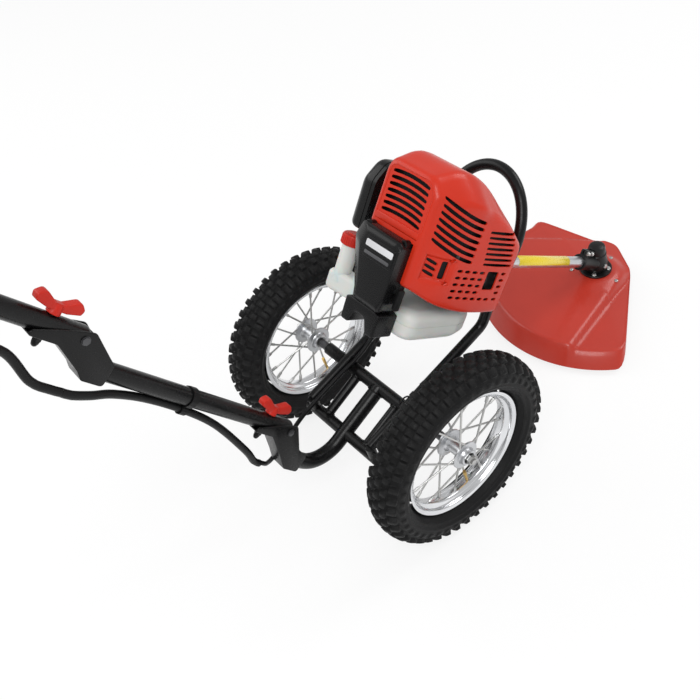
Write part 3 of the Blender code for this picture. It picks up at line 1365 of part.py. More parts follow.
def cable_clip(parent):
    """Clip that holds the cable's conduit under the lower stem."""
    place = (0, -(CLIP_S - LOWER_PIVOT_S), 0)
    band = moved(tube(STEM_R + GAP + 0.0022, STEM_R + GAP, -0.007, 0.007, 14, "Y"), place)
    clip = add("cable_clip", band, parent, "black_plastic")
    below = (0, place[1], -(STEM_R + CABLE_R + CABLE_GAP))
    fuse(clip, moved(rod(CABLE_R + 0.0028, -0.007, 0.007, 12, "Y"), below))
    cut(clip, moved(bore(STEM_R, -0.02, 0.02, 14, "Y"), place))
    cut(clip, moved(bore(CABLE_R + GAP, -0.02, 0.02, 12, "Y"), below))


def handle(machine):
    """Both stems with their brackets, pins and knobs, the handlebar, its controls and the cable."""
    lower = empty("lower_fold", machine, tuple(slope_point(LOWER_PIVOT_S, LOWER_N)), (-HANDLE_SLOPE, 0, 0))
    upper = empty("upper_fold", lower, (0, LOWER_PIVOT_S - UPPER_PIVOT_S, UPPER_N - LOWER_N))
    tail = LOWER_PIVOT_S - CENTRE_END_S - GAP
    bracket("frame_bracket", lower, tail, CENTRE_END_N - LOWER_N)
    pin("frame_pin", lower)
    stem("lower_stem", lower, LOWER_STEM_TOP - LOWER_PIVOT_S)
    wing_knob("lower_knob", lower)
    tail = UPPER_PIVOT_S - LOWER_STEM_TOP - GAP
    bracket("stem_bracket", upper, tail, LOWER_N - UPPER_N)
    pin("stem_pin", upper)
    stem("upper_stem", upper, UPPER_STEM_TOP - UPPER_PIVOT_S)
    wing_knob("upper_knob", upper)
    handlebar(upper)
    for side, word in ((1, "right"), (-1, "left")):
        place, turn = grip_frame(side)
        frame = empty(f"grip_frame_{word}", upper, tuple(place), tuple(turn))
        grip(word, frame)
        if side > 0:
            throttle(frame)
    cable_clip(lower)
    cable("cable_upper", upper, CABLE_UPPER, CABLE_R)
    cable("cable_lower", lower, CABLE_LOWER, CABLE_R)
    cable("cable_frame", machine, CABLE_FRAME, WIRE_R)


def build():
    """The whole machine."""
    clear_scene()
    machine = empty("machine", None, (0, AXLE_Y, TYRE_R))
    line = empty("drive_line", machine, (0, ENGINE_Y, ENGINE_Z), (-SHAFT_SLOPE, 0, 0))
    head = empty("cutter_head", machine, tuple(line_point(SHAFT_LENGTH, 0.0)))
    for side in (1, -1):
        wheel(side, machine)
    axle(machine)
    frame_tubes(machine)
    engine_cover(line)
    crankcase(line)
    clutch_case(line)
    rotating_crank(line)
    drive_shaft(line)
    shaft_tube(line)
    starter(line)
    muffler(line)
    intake(line)
    fuel_tank(line)
    engine_foot(line)
    gear_head(head)
    cutter(head)
    guard(head)
    handle(machine)


build()
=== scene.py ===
"""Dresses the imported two-wheeled brush cutter: finishes, finer pieces, floor, light and camera."""

import json
import math

import bmesh
import bpy
from mathutils import Matrix, Vector


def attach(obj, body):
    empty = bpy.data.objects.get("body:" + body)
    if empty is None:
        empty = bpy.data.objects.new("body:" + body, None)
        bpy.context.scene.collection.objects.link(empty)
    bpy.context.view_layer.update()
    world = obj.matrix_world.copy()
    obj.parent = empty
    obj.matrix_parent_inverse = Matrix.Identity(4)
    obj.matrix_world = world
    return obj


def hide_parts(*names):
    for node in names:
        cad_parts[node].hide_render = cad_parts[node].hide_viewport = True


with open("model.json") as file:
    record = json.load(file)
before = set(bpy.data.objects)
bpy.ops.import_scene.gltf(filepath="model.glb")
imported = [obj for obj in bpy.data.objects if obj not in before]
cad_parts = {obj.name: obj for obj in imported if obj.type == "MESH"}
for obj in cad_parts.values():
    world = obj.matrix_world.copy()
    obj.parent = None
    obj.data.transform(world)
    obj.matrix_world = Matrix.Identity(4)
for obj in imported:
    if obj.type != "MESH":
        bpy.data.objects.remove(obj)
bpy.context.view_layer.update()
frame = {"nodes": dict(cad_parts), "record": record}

bl_info = {
    "name": "Wheeled Brush Cutter",
    "version": (1, 0, 0),
    "blender": (4, 5, 0),
    "location": "3D View > Sidebar > Brush Cutter",
    "description": "Finishes and fine pieces for a two-wheeled petrol brush cutter",
    "category": "Object",
}

# ---- Places taken from the frame -----------------------------------------------------------


def joint(name):
    """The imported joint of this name."""
    return next(j for j in frame["record"]["behaviour"]["joints"] if j["name"] == name)


def axes_at(place, across, along):
    """A frame at a place whose X is across and whose Y runs along."""
    x = Vector(across).normalized()
    y = Vector(along).normalized()
    turn = Matrix((x, y, x.cross(y))).transposed().to_4x4()
    return Matrix.Translation(place) @ turn


LINE = axes_at(joint("crank_turn")["pos_m"], (1, 0, 0), joint("crank_turn")["axis"])
HEAD = axes_at(joint("cutter_turn")["pos_m"], (1, 0, 0), (0, 1, 0))
SLOPE_OUT = Vector(joint("upper_screw_turn")["axis"])
LOWER = axes_at(joint("lower_fold")["pos_m"], (1, 0, 0), Vector((1, 0, 0)).cross(SLOPE_OUT) * -1)
UPPER = axes_at(joint("upper_fold")["pos_m"], (1, 0, 0), Vector((1, 0, 0)).cross(SLOPE_OUT) * -1)
WHEELS = {side: Vector(joint(f"wheel_{side}_turn")["pos_m"]) for side in ("right", "left")}
TYRE_RADIUS = WHEELS["right"].z


# ---- Settings ------------------------------------------------------------------------------
def colour(label, text, value):
    """A colour setting."""
    return bpy.props.FloatVectorProperty(
        name=label, description=text, default=value, size=3, subtype="COLOR", min=0.0, max=1.0
    )


class CutterColours(bpy.types.PropertyGroup):
    """Colours of the machine's mouldings, paint and metal."""

    cover: colour("Cover red", "Moulded engine cover", (0.60, 0.027, 0.008))
    guard: colour("Guard red", "Moulded cutter guard", (0.50, 0.036, 0.020))
    knob: colour("Knob red", "Clamp knobs and fuel cap", (0.56, 0.020, 0.010))
    paint: colour("Frame black", "Paint on the tubes and brackets", (0.0045, 0.0045, 0.0048))
    plastic: colour("Plastic black", "Starter, filter and controls", (0.0050, 0.0050, 0.0054))
    rubber: colour("Tyre black", "Tyre rubber", (0.0060, 0.0060, 0.0063))
    tank: colour("Tank white", "Fuel tank", (0.72, 0.73, 0.70))
    chrome: colour("Rim silver", "Rims, hubs and spokes", (0.82, 0.83, 0.85))
    alloy: colour("Alloy", "Shaft tube and castings", (0.66, 0.67, 0.69))
    band: colour("Band yellow", "Sleeve on the shaft tube", (0.86, 0.66, 0.02))


class CutterSizes(bpy.types.PropertyGroup):
    """Counts that set how fine the pieces are."""

    tread_pitches: bpy.props.IntProperty(
        name="Tread pitches", description="Blocks round each row of the tread", default=44, min=20, max=80
    )


def colours():
    """The scene's colour settings."""
    return bpy.context.scene.cutter_colours


def sizes():
    """The scene's size settings."""
    return bpy.context.scene.cutter_sizes


# ---- Materials -----------------------------------------------------------------------------
NOISE_LOW = 0.35       # span of a noise value that is spread over a whole range
NOISE_HIGH = 0.65


def shader_of(name, base, rough, metal=0.0, **constants):
    """A new material with its Principled shader's plain values set; returns it, its tree and shader."""
    made = bpy.data.materials.new(name)
    made.use_nodes = True
    tree = made.node_tree
    shader = tree.nodes["Principled BSDF"]
    shader.inputs["Base Color"].default_value = (*base, 1.0)
    shader.inputs["Roughness"].default_value = rough
    shader.inputs["Metallic"].default_value = metal
    for socket, value in constants.items():
        shader.inputs[socket.replace("_", " ")].default_value = value
    made.diffuse_color = (*base, 1.0)
    return made, tree, shader


def spots(tree, scale, detail=4.0, stretch=(1, 1, 1)):
    """Noise on Object coordinates, stretched along an axis."""
    place = tree.nodes.new("ShaderNodeTexCoord")
    mapping = tree.nodes.new("ShaderNodeMapping")
    mapping.inputs["Scale"].default_value = stretch
    noise = tree.nodes.new("ShaderNodeTexNoise")
    noise.inputs["Scale"].default_value = scale
    noise.inputs["Detail"].default_value = detail
    tree.links.new(place.outputs["Object"], mapping.inputs["Vector"])
    tree.links.new(mapping.outputs["Vector"], noise.inputs["Vector"])
    return noise.outputs["Fac"]


def spread(tree, value, low, high):
    """A noise value spread over a range."""
    node = tree.nodes.new("ShaderNodeMapRange")
    node.inputs["From Min"].default_value = NOISE_LOW
    node.inputs["From Max"].default_value = NOISE_HIGH
    node.inputs["To Min"].default_value = low
    node.inputs["To Max"].default_value = high
    tree.links.new(value, node.inputs["Value"])
    return node.outputs["Result"]


def tint(tree, value, first, second):
    """A colour that changes from the first to the second with a noise value."""
    node = tree.nodes.new("ShaderNodeValToRGB")
    node.color_ramp.elements[0].position = NOISE_LOW
    node.color_ramp.elements[0].color = (*first, 1.0)
    node.color_ramp.elements[1].position = NOISE_HIGH
    node.color_ramp.elements[1].color = (*second, 1.0)
    tree.links.new(value, node.inputs["Fac"])
    return node.outputs["Color"]


def grain(tree, shader, value, strength, distance):
    """Bump the surface with a noise value."""
    bump = tree.nodes.new("ShaderNodeBump")
    bump.inputs["Strength"].default_value = strength
    bump.inputs["Distance"].default_value = distance
    tree.links.new(value, bump.inputs["Height"])
    tree.links.new(bump.outputs["Normal"], shader.inputs["Normal"])


def darker(base, share):
    """The colour at this share of its lightness."""
    return tuple(min(1.0, c * share) for c in base)


def finished(name, base, rough, metal, fine, bump, stretch=(1, 1, 1), change=0.86, **constants):
    """A finish with broad colour change, uneven gloss and fine grain."""
    made, tree, shader = shader_of(name, base, rough, metal, **constants)
    broad = spots(tree, 9.0, 3.0)
    tree.links.new(tint(tree, broad, darker(base, change), base), shader.inputs["Base Color"])
    small = spots(tree, fine, 5.0, stretch)
    tree.links.new(spread(tree, small, rough * 0.82, min(1.0, rough * 1.2)), shader.inputs["Roughness"])
    grain(tree, shader, small, bump, 0.0006)
    return made


def make_finishes():
    """Every finish of the machine, by name."""
    c = colours()
    return {
        "cover": finished(
            "cover_moulding", c.cover, 0.34, 0.0, 420.0, 0.04, change=0.93,
            Specular_IOR_Level=0.30, Coat_Weight=0.12, Coat_Roughness=0.10,
        ),
        "guard": finished(
            "guard_moulding", c.guard, 0.34, 0.0, 260.0, 0.05, change=0.93,
            Specular_IOR_Level=0.38, Coat_Weight=0.20, Coat_Roughness=0.12,
        ),
        "knob": finished("knob_moulding", c.knob, 0.42, 0.0, 500.0, 0.06, Specular_IOR_Level=0.25),
        "paint": finished(
            "frame_paint", c.paint, 0.32, 0.0, 300.0, 0.03, Specular_IOR_Level=0.22,
            Coat_Weight=0.06, Coat_Roughness=0.10,
        ),
        "plastic": finished("moulded_black", c.plastic, 0.46, 0.0, 900.0, 0.12, Specular_IOR_Level=0.20),
        "gloss": finished(
            "glossy_black", c.plastic, 0.26, 0.0, 500.0, 0.03, Specular_IOR_Level=0.26,
            Coat_Weight=0.06, Coat_Roughness=0.06,
        ),
        "sleeve": finished("cable_sleeve", c.plastic, 0.40, 0.0, 600.0, 0.06, Specular_IOR_Level=0.22),
        "soft": finished(
            "grip_rubber", darker(c.plastic, 1.2), 0.66, 0.0, 700.0, 0.2, Specular_IOR_Level=0.20
        ),
        "rubber": finished(
            "tyre_rubber", c.rubber, 0.58, 0.0, 520.0, 0.16, change=0.7, Specular_IOR_Level=0.22
        ),
        "plate": finished("bare_plate", (0.70, 0.70, 0.72), 0.34, 0.0, 500.0, 0.03),
        "strip": finished("bare_strip", (0.075, 0.075, 0.080), 0.36, 0.0, 500.0, 0.03),
        "tank": finished(
            "tank_moulding", c.tank, 0.40, 0.0, 180.0, 0.06, change=0.93,
            Subsurface_Weight=0.25, Subsurface_Scale=0.01,
        ),
        "chrome": finished("rim_plating", c.chrome, 0.16, 1.0, 60.0, 0.03, change=0.9),
        "steel": finished("zinc_plating", (0.58, 0.58, 0.57), 0.32, 1.0, 300.0, 0.08),
        "dark_steel": finished("dark_plating", (0.09, 0.09, 0.095), 0.38, 0.7, 300.0, 0.08),
        "alloy": finished("shaft_alloy", c.alloy, 0.34, 1.0, 500.0, 0.06, (1, 0.05, 0.05)),
        "cast": finished("cast_alloy", darker(c.alloy, 0.8), 0.5, 1.0, 380.0, 0.25),
        "brass": finished("valve_brass", (0.72, 0.48, 0.16), 0.30, 1.0, 300.0, 0.08),
        "band": finished("band_sleeve", c.band, 0.30, 0.0, 300.0, 0.05, Coat_Weight=0.3, Coat_Roughness=0.1),
        "head": finished(
            "head_casting", (0.0060, 0.0060, 0.0064), 0.36, 0.0, 420.0, 0.10, Specular_IOR_Level=0.30
        ),
    }


NODE_FINISHES = {
    "cover": ("engine_cover",),
    "guard": ("guard",),
    "knob": ("lower_knob", "upper_knob", "fuel_cap", "stop_switch"),
    "paint": ("frame", "lower_stem", "upper_stem", "frame_bracket", "stem_bracket", "handlebar"),
    "plastic": (
        "starter_housing", "starter_pulley", "starter_handle", "air_filter_cover", "choke_lever",
        "primer_bulb", "engine_foot", "throttle_housing", "throttle_trigger", "lock_lever", "bar_clamp",
        "cable_clip", "cable_upper", "cable_lower", "cable_frame",
    ),
    "soft": ("grip_right", "grip_left"),
    "rubber": ("tyre_right", "tyre_left"),
    "tank": ("fuel_tank",),
    "chrome": ("wheel_right", "wheel_left"),
    "steel": (
        "axle", "axle_nut_right", "axle_nut_left", "bearing_right", "bearing_left", "blade",
        "cutter_spindle", "drive_shaft", "crankshaft", "spindle_nut",
    ),
    "dark_steel": (
        "clutch_case", "muffler", "skid_cup", "frame_pin", "stem_pin", "axle_spacer_right",
        "axle_spacer_left",
    ),
    "alloy": ("shaft_tube",),
    "cast": ("crankcase", "carburettor", "flywheel"),
    "brass": ("valve_right", "valve_left"),
    "band": ("shaft_band",),
    "head": ("gear_head",),
}
FINISHES = {}


def body_of(node):
    """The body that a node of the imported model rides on."""
    bodies = frame["record"]["behaviour"]["bodies"]
    return next(name for name, nodes in bodies.items() if node in nodes)


def wear(obj, finish):
    """Give an object one finish."""
    obj.data.materials.clear()
    obj.data.materials.append(FINISHES[finish])


# ---- Modelling tools -----------------------------------------------------------------------
def clear_selection():
    """Leave nothing selected, in object mode."""
    if bpy.context.object and bpy.context.object.mode != "OBJECT":
        bpy.ops.object.mode_set(mode="OBJECT")
    bpy.ops.object.select_all(action="DESELECT")


def named(name):
    """Name the object that an operator has just added."""
    made = bpy.context.object
    made.name = name
    made.data.name = name
    return made


def pick(obj, test):
    """Select the faces of an object in edit mode by a test on their middle and normal."""
    bpy.ops.mesh.select_mode(type="FACE")
    bpy.ops.mesh.select_all(action="DESELECT")
    mesh = bmesh.from_edit_mesh(obj.data)
    found = [face for face in mesh.faces if test(face.calc_center_median(), face.normal)]
    for face in found:
        face.select_set(True)
    bmesh.update_edit_mesh(obj.data)
    if not found:
        raise RuntimeError(f"nothing picked on {obj.name}")


def only(obj):
    """Select this object alone and make it the active one."""
    clear_selection()
    obj.select_set(True)
    bpy.context.view_layer.objects.active = obj


def apply_all(obj):
    """Apply an object's modifiers in order."""
    only(obj)
    for step in list(obj.modifiers):
        bpy.ops.object.modifier_apply(modifier=step.name)


def place(obj, matrix):
    """Lay a mesh by a matrix with its object at the origin; a mirrored mesh has its faces turned."""
    obj.data.transform(matrix @ obj.matrix_world)
    obj.matrix_world = Matrix.Identity(4)
    if matrix.determinant() < 0:
        obj.data.flip_normals()


def smooth(obj, angle=35.0):
    """Shade an object smooth below an angle."""
    only(obj)
    bpy.ops.object.shade_smooth_by_angle(angle=math.radians(angle))


def joined(items, name):
    """Join several objects into one."""
    clear_selection()
    for item in items:
        item.select_set(True)
    bpy.context.view_layer.objects.active = items[0]
    bpy.ops.object.join()
    return named(name)


def copy_of(obj, matrix):
    """A copy of an object with its own mesh, laid by a matrix."""
    made = obj.copy()
    made.data = obj.data.copy()
    bpy.context.collection.objects.link(made)
    place(made, matrix)
    return made


# ---- Stage ---------------------------------------------------------------------------------
class CUTTER_OT_stage(bpy.types.Operator):
    """Lay the pale floor and set the soft lamps and the camera"""

    bl_idname = "cutter.stage"
    bl_label = "Stage"

    def execute(self, context):
        clear_selection()
        bpy.ops.mesh.primitive_plane_add(size=14.0, location=(0, 0, 0))
        floor = named("floor")
        finish, tree, shader = shader_of("floor_paper", (0.95, 0.95, 0.95), 0.9)
        rays = tree.nodes.new("ShaderNodeLightPath")
        glow = tree.nodes.new("ShaderNodeEmission")
        glow.inputs["Color"].default_value = (1.0, 1.0, 1.0, 1.0)
        mix = tree.nodes.new("ShaderNodeMixShader")
        out = tree.nodes["Material Output"]
        catch = tree.nodes.new("ShaderNodeMath")
        catch.operation = "MULTIPLY"
        catch.inputs[1].default_value = 0.80
        tree.links.new(rays.outputs["Is Camera Ray"], catch.inputs[0])
        tree.links.new(catch.outputs[0], mix.inputs["Fac"])
        tree.links.new(shader.outputs["BSDF"], mix.inputs[1])
        tree.links.new(glow.outputs["Emission"], mix.inputs[2])
        tree.links.new(mix.outputs["Shader"], out.inputs["Surface"])
        floor.data.materials.append(finish)
        self.light(context)
        self.look(context)
        return {"FINISHED"}

    def light(self, context):
        """World light and three soft lamps."""
        world = bpy.data.worlds.new("studio")
        world.use_nodes = True
        back = world.node_tree.nodes["Background"]
        back.inputs["Color"].default_value = (1.0, 1.0, 1.0, 1.0)
        back.inputs["Strength"].default_value = 0.55
        context.scene.world = world
        lamps = (
            ("key_lamp", (1.6, -1.6, 3.2), 1.8, 62.0),
            ("fill_lamp", (-2.6, -0.8, 2.4), 2.4, 30.0),
            ("rim_lamp", (0.6, 2.8, 2.6), 1.6, 34.0),
        )
        for name, where, size, power in lamps:
            data = bpy.data.lights.new(name, "AREA")
            data.shape = "SQUARE"
            data.size = size
            data.energy = power
            lamp = bpy.data.objects.new(name, data)
            context.collection.objects.link(lamp)
            lamp.location = where
            aim = Vector((0, 0.1, 0.35)) - Vector(where)
            lamp.rotation_euler = aim.to_track_quat("-Z", "Y").to_euler()

    def look(self, context):
        """The camera at the photograph's place, solved from the wheels and the shaft."""
        data = bpy.data.cameras.new("photo_camera")
        data.lens = 46.13
        data.sensor_width = 36.0
        camera = bpy.data.objects.new("photo_camera", data)
        context.collection.objects.link(camera)
        right = Vector((0.6345, 0.7600, -0.1409)).normalized()
        back = Vector((0.5994, -0.3687, 0.7105)).normalized()
        up = back.cross(right).normalized()
        turn = Matrix((right, up, back)).transposed().to_4x4()
        spot = Vector((1.010, -0.6709 + WHEELS["right"].y, 1.3454 + TYRE_RADIUS))
        camera.matrix_world = Matrix.Translation(spot) @ turn
        context.scene.camera = camera
        context.scene.view_settings.view_transform = "Standard"


class CUTTER_OT_finishes(bpy.types.Operator):
    """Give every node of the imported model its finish"""

    bl_idname = "cutter.finishes"
    bl_label = "Finishes"

    def execute(self, context):
        FINISHES.update(make_finishes())
        nodes = dict(frame["nodes"])
        for finish, names in NODE_FINISHES.items():
            for name in names:
                wear(nodes.pop(name), finish)
        if nodes:
            raise RuntimeError(f"no finish for {sorted(nodes)}")
        return {"FINISHED"}


# ---- Wheels --------------------------------------------------------------------------------
def turned(name, profile, sides=48, open_ends=False):
    """A lathe form about Z: a circle drawn out along a profile of (height, radius)."""
    height, radius = profile[0]
    clear_selection()
    bpy.ops.mesh.primitive_circle_add(
        vertices=sides, radius=radius, fill_type="NOTHING" if open_ends else "NGON", location=(0, 0, height)
    )
    made = named(name)
    place(made, Matrix.Identity(4))
    bpy.ops.object.mode_set(mode="EDIT")
    bpy.ops.mesh.select_mode(type="VERT")
    bpy.ops.mesh.select_all(action="SELECT")
    for (low, inner), (high, outer) in zip(profile, profile[1:]):
        bpy.ops.mesh.extrude_region_move(TRANSFORM_OT_translate={"value": (0, 0, high - low)})
        share = outer / inner
        bpy.ops.transform.resize(value=(share, share, 1), center_override=(0, 0, high))
    bpy.ops.mesh.select_all(action="SELECT")
    bpy.ops.mesh.normals_make_consistent(inside=False)
    bpy.ops.object.mode_set(mode="OBJECT")
    return made


def facing(spot, way):
    """A frame at a place whose Z runs along a direction."""
    return Matrix.Translation(spot) @ Vector(way).to_track_quat("Z", "Y").to_matrix().to_4x4()


def mirrored(half):
    """A whole lathe profile from its half on one side of zero."""
    return [(-z, r) for z, r in reversed(half)] + [(z, r) for z, r in half[1:]]


def refine(obj, kind, **values):
    """Add a modifier with its values set."""
    step = obj.modifiers.new(kind.lower(), kind)
    for key, value in values.items():
        setattr(step, key, value)


def rounded(obj, width, segments=2, angle=30.0):
    """Round an object's sharp edges and shade it smooth."""
    refine(
        obj, "BEVEL", width=width, segments=segments, limit_method="ANGLE",
        angle_limit=math.radians(angle), harden_normals=False,
    )
    apply_all(obj)
    smooth(obj, 40.0)


def rod(name, start, end, radius, sides=10):
    """A round rod between two points, with slightly rounded ends."""
    way = Vector(end) - Vector(start)
    made = turned(
        name,
        ((0, radius * 0.8), (radius * 0.2, radius), (way.length - radius * 0.2, radius),
         (way.length, radius * 0.8)),
        sides,
    )
    place(made, facing(start, way))
    return made


ON_AXLE = Matrix.Rotation(math.radians(90.0), 4, "Y")   # lays a lathe form's Z along the axle


class CUTTER_OT_tyres(bpy.types.Operator):
    """Model the knobbly tyre once, and lay it on both wheels"""

    bl_idname = "cutter.tyres"
    bl_label = "Tyres"

    RING = 0.1662          # radius to the middle of the casing
    SECTION = 0.0292       # casing's own radius up to the foot of the blocks
    WIDTH = 1.36           # casing's width over its height
    AROUND = 36            # faces round the section

    def execute(self, context):
        pitches = sizes().tread_pitches
        clear_selection()
        bpy.ops.mesh.primitive_torus_add(
            major_segments=pitches * 2, minor_segments=self.AROUND,
            major_radius=self.RING, minor_radius=self.SECTION,
        )
        tyre = named("tyre_pattern")
        bpy.ops.object.mode_set(mode="EDIT")
        bpy.ops.mesh.select_all(action="SELECT")
        bpy.ops.transform.resize(value=(1, 1, self.WIDTH), center_override=(0, 0, 0))
        depth = TYRE_RADIUS - self.RING - self.SECTION
        step = math.tau / (pitches * 2)
        rows = (
            (0, -10, 10, 0.0016, depth), (1, 12, 32, 0.0016, depth), (1, -32, -12, 0.0016, depth),
            (0, 34, 62, 0.0016, depth * 0.95), (0, -62, -34, 0.0016, depth * 0.95),
            (1, 66, 92, 0.0008, 0.0018), (1, -92, -66, 0.0008, 0.0018),
        )
        for parity, low, high, taper, rise in rows:
            pick(tyre, self.row(parity, low, high, step))
            bpy.ops.mesh.inset(thickness=taper, depth=rise, use_boundary=True)
        for low, high in ((101, 109), (-109, -101), (121, 129), (-129, -121)):
            pick(tyre, self.row(None, low, high, step))
            bpy.ops.mesh.inset(thickness=0.0008, depth=0.0008)
        bpy.ops.object.mode_set(mode="OBJECT")
        rounded(tyre, 0.0007, 1)
        for side, centre in WHEELS.items():
            made = copy_of(tyre, Matrix.Translation(centre) @ ON_AXLE)
            made.name = made.data.name = f"knobbly_tyre_{side}"
            made.data.materials.append(FINISHES["rubber"])
            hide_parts(f"tyre_{side}")
            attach(made, f"wheel_{side}_body")
        bpy.data.objects.remove(tyre)
        return {"FINISHED"}

    def row(self, parity, low, high, step):
        """A test for the faces of one row of blocks, by their angle round the section in degrees."""

        def test(middle, way):
            turn = math.atan2(middle.y, middle.x) % math.tau
            out = math.hypot(middle.x, middle.y) - self.RING
            lean = math.degrees(math.atan2(middle.z / self.WIDTH, out))
            on_turn = parity is None or int(turn / step) % 2 == parity
            return on_turn and low < lean < high

        return test


class CUTTER_OT_wheels(bpy.types.Operator):
    """Model the plated rim, hub, spokes and nipples once, and lay them in both wheels"""

    bl_idname = "cutter.wheels"
    bl_label = "Wheels"

    FLANGE = 0.1375        # rim's outer edge
    WELL = 0.1180          # bottom of the rim's well
    SPOKES = 20
    CROSS = math.radians(36.0)
    SPOKE = 0.0020         # spoke's radius
    NIPPLE = 0.0032        # nipple's radius

    def execute(self, context):
        parts = [self.rim(), self.hub(), *self.spokes()]
        wheel = joined(parts, "wheel_pattern")
        for side, centre in WHEELS.items():
            made = copy_of(wheel, Matrix.Translation(centre) @ ON_AXLE)
            made.name = made.data.name = f"spoked_wheel_{side}"
            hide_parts(f"wheel_{side}")
            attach(made, f"wheel_{side}_body")
        bpy.data.objects.remove(wheel)
        return {"FINISHED"}

    def rim(self):
        """The drop-centre rim with rolled flanges."""
        half = (
            (0.0000, self.WELL), (0.0075, self.WELL), (0.0100, self.WELL + 0.0025),
            (0.0125, self.WELL + 0.0080), (0.0150, self.WELL + 0.0092), (0.0196, self.WELL + 0.0100),
            (0.0212, self.WELL + 0.0120), (0.0218, self.FLANGE - 0.0035), (0.0232, self.FLANGE - 0.0014),
        )
        made = turned("rim_pattern", mirrored(half), 96, open_ends=True)
        refine(made, "SOLIDIFY", thickness=0.0022, offset=1.0)
        refine(made, "SUBSURF", levels=1, render_levels=1)
        apply_all(made)
        smooth(made, 50.0)
        made.data.materials.append(FINISHES["chrome"])
        return made

    def hub(self):
        """The hub shell with its two flanges and its ends."""
        half = (
            (0.0000, 0.0125), (0.0130, 0.0130), (0.0175, 0.0170), (0.0190, 0.0286), (0.0200, 0.0292),
            (0.0225, 0.0292), (0.0232, 0.0284), (0.0238, 0.0190), (0.0262, 0.0172), (0.0320, 0.0165),
            (0.0330, 0.0155), (0.0330, 0.0130),
        )
        made = turned("hub_pattern", mirrored(half), 48)
        smooth(made, 35.0)
        made.data.materials.append(FINISHES["alloy"])
        return made

    def spokes(self):
        """Crossed spokes from both flanges, each with its nipple."""
        found = []
        for number in range(self.SPOKES):
            side = 1 if number % 2 else -1
            cross = self.CROSS if number % 4 < 2 else -self.CROSS
            foot_turn = math.tau * (number + 0.5) / self.SPOKES
            foot = Vector((math.cos(foot_turn) * 0.0255, math.sin(foot_turn) * 0.0255, side * 0.0215))
            head_turn = foot_turn + cross
            reach = self.WELL - 0.0006
            end = Vector((math.cos(head_turn) * reach, math.sin(head_turn) * reach, side * 0.0030))
            way = (end - foot).normalized()
            found.append(rod(f"spoke_{number}", foot, end, self.SPOKE, 10))
            found.append(rod(f"nipple_{number}", end - way * 0.0130, end, self.NIPPLE, 8))
        for item in found:
            smooth(item, 40.0)
            item.data.materials.append(FINISHES["steel"])
        return found


# ---- Engine --------------------------------------------------------------------------------
def lofted(name, rings, caps=True):
    """A skin through closed rings of points, with its ends filled."""
    mesh = bpy.data.meshes.new(name)
    skin = bmesh.new()
    rows = [[skin.verts.new(point) for point in ring] for ring in rings]
    for first, second in zip(rows, rows[1:]):
        for i in range(len(first)):
            j = (i + 1) % len(first)
            skin.faces.new((first[i], first[j], second[j], second[i]))
    if caps:
        skin.faces.new(rows[0])
        skin.faces.new(rows[-1])
    bmesh.ops.recalc_face_normals(skin, faces=skin.faces)
    skin.to_mesh(mesh)
    skin.free()
    made = bpy.data.objects.new(name, mesh)
    bpy.context.collection.objects.link(made)
    return made


def rounded_outline(corners, steps=5):
    """A closed outline of (a, b, radius, splits) corners: rounded, with the side after each one split."""
    arcs = []
    for i, (a, b, radius, splits) in enumerate(corners):
        corner = Vector((a, b))
        before = Vector(corners[i - 1][:2]) - corner
        after = Vector(corners[(i + 1) % len(corners)][:2]) - corner
        reach = radius / math.tan(before.angle(after) / 2)
        reach = min(reach, before.length * 0.49, after.length * 0.49)
        start = corner + before.normalized() * reach
        end = corner + after.normalized() * reach
        shares = [k / steps for k in range(steps + 1)]
        arcs.append([start * (1 - t) ** 2 + corner * 2 * t * (1 - t) + end * t * t for t in shares])
    points = []
    for i, arc in enumerate(arcs):
        points += arc
        ahead = arcs[(i + 1) % len(arcs)][0]
        splits = corners[i][3]
        points += [arc[-1].lerp(ahead, k / (splits + 1)) for k in range(1, splits + 1)]
    return points


def eased(stations, u):
    """Values of a list of stations at a place between them, on a smooth curve."""
    places = [station[0] for station in stations]
    i = max(0, min(len(places) - 2, sum(1 for p in places if p <= u) - 1))
    span = [stations[max(0, min(len(stations) - 1, i + k))] for k in (-1, 0, 1, 2)]
    t = (u - places[i]) / (places[i + 1] - places[i])
    values = []
    for a, b, c, d in zip(*[station[1:] for station in span]):
        line = 2 * b + (c - a) * t
        bow = (2 * a - 5 * b + 4 * c - d) * t * t
        values.append(0.5 * (line + bow + (3 * b - a - 3 * c + d) * t ** 3))
    return values


def laid(axis, along, a, b):
    """A point at a place along an axis, with its other two coordinates in order."""
    return {"X": (along, a, b), "Y": (a, along, b), "Z": (a, b, along)}[axis]


def prism(name, outline, axis, low, high):
    """A straight-sided form of a flat outline drawn between two places on an axis."""
    return lofted(name, [[laid(axis, end, a, b) for a, b in outline] for end in (low, high)])


def panel(left, right, low, high, radius):
    """The corners of a rounded rectangle."""
    return [(a, b, radius, 0) for a, b in ((left, low), (right, low), (right, high), (left, high))]


def slot_outline(start, end, bow, height, steps=10):
    """A slot's outline from start to end with round ends, bowed sideways."""
    start, end = Vector(start), Vector(end)
    middle = []
    for i in range(steps + 1):
        t = i / steps
        middle.append(start.lerp(end, t) + Vector((0, bow * 4 * t * (1 - t))))
    half = height / 2
    above = [p + Vector((0, half)) for p in middle[1:-1]]
    below = [p - Vector((0, half)) for p in reversed(middle[1:-1])]
    ends = [Vector((half * 0.3 * c, half * s)) for c, s in ((0, 0.75), (1, 0.3), (1, -0.3), (0, -0.75))]
    nose = [middle[-1] + end for end in ends]
    tail = [middle[0] - end for end in ends]
    return above + nose + below + tail


def carve(obj, cutters):
    """Cut all the cutters out of an object at once, and remove them."""
    cutter = joined(cutters, f"{obj.name}_cutter")
    refine(obj, "BOOLEAN", operation="DIFFERENCE", object=cutter, solver="EXACT", use_self=True)
    apply_all(obj)
    bpy.data.objects.remove(cutter)


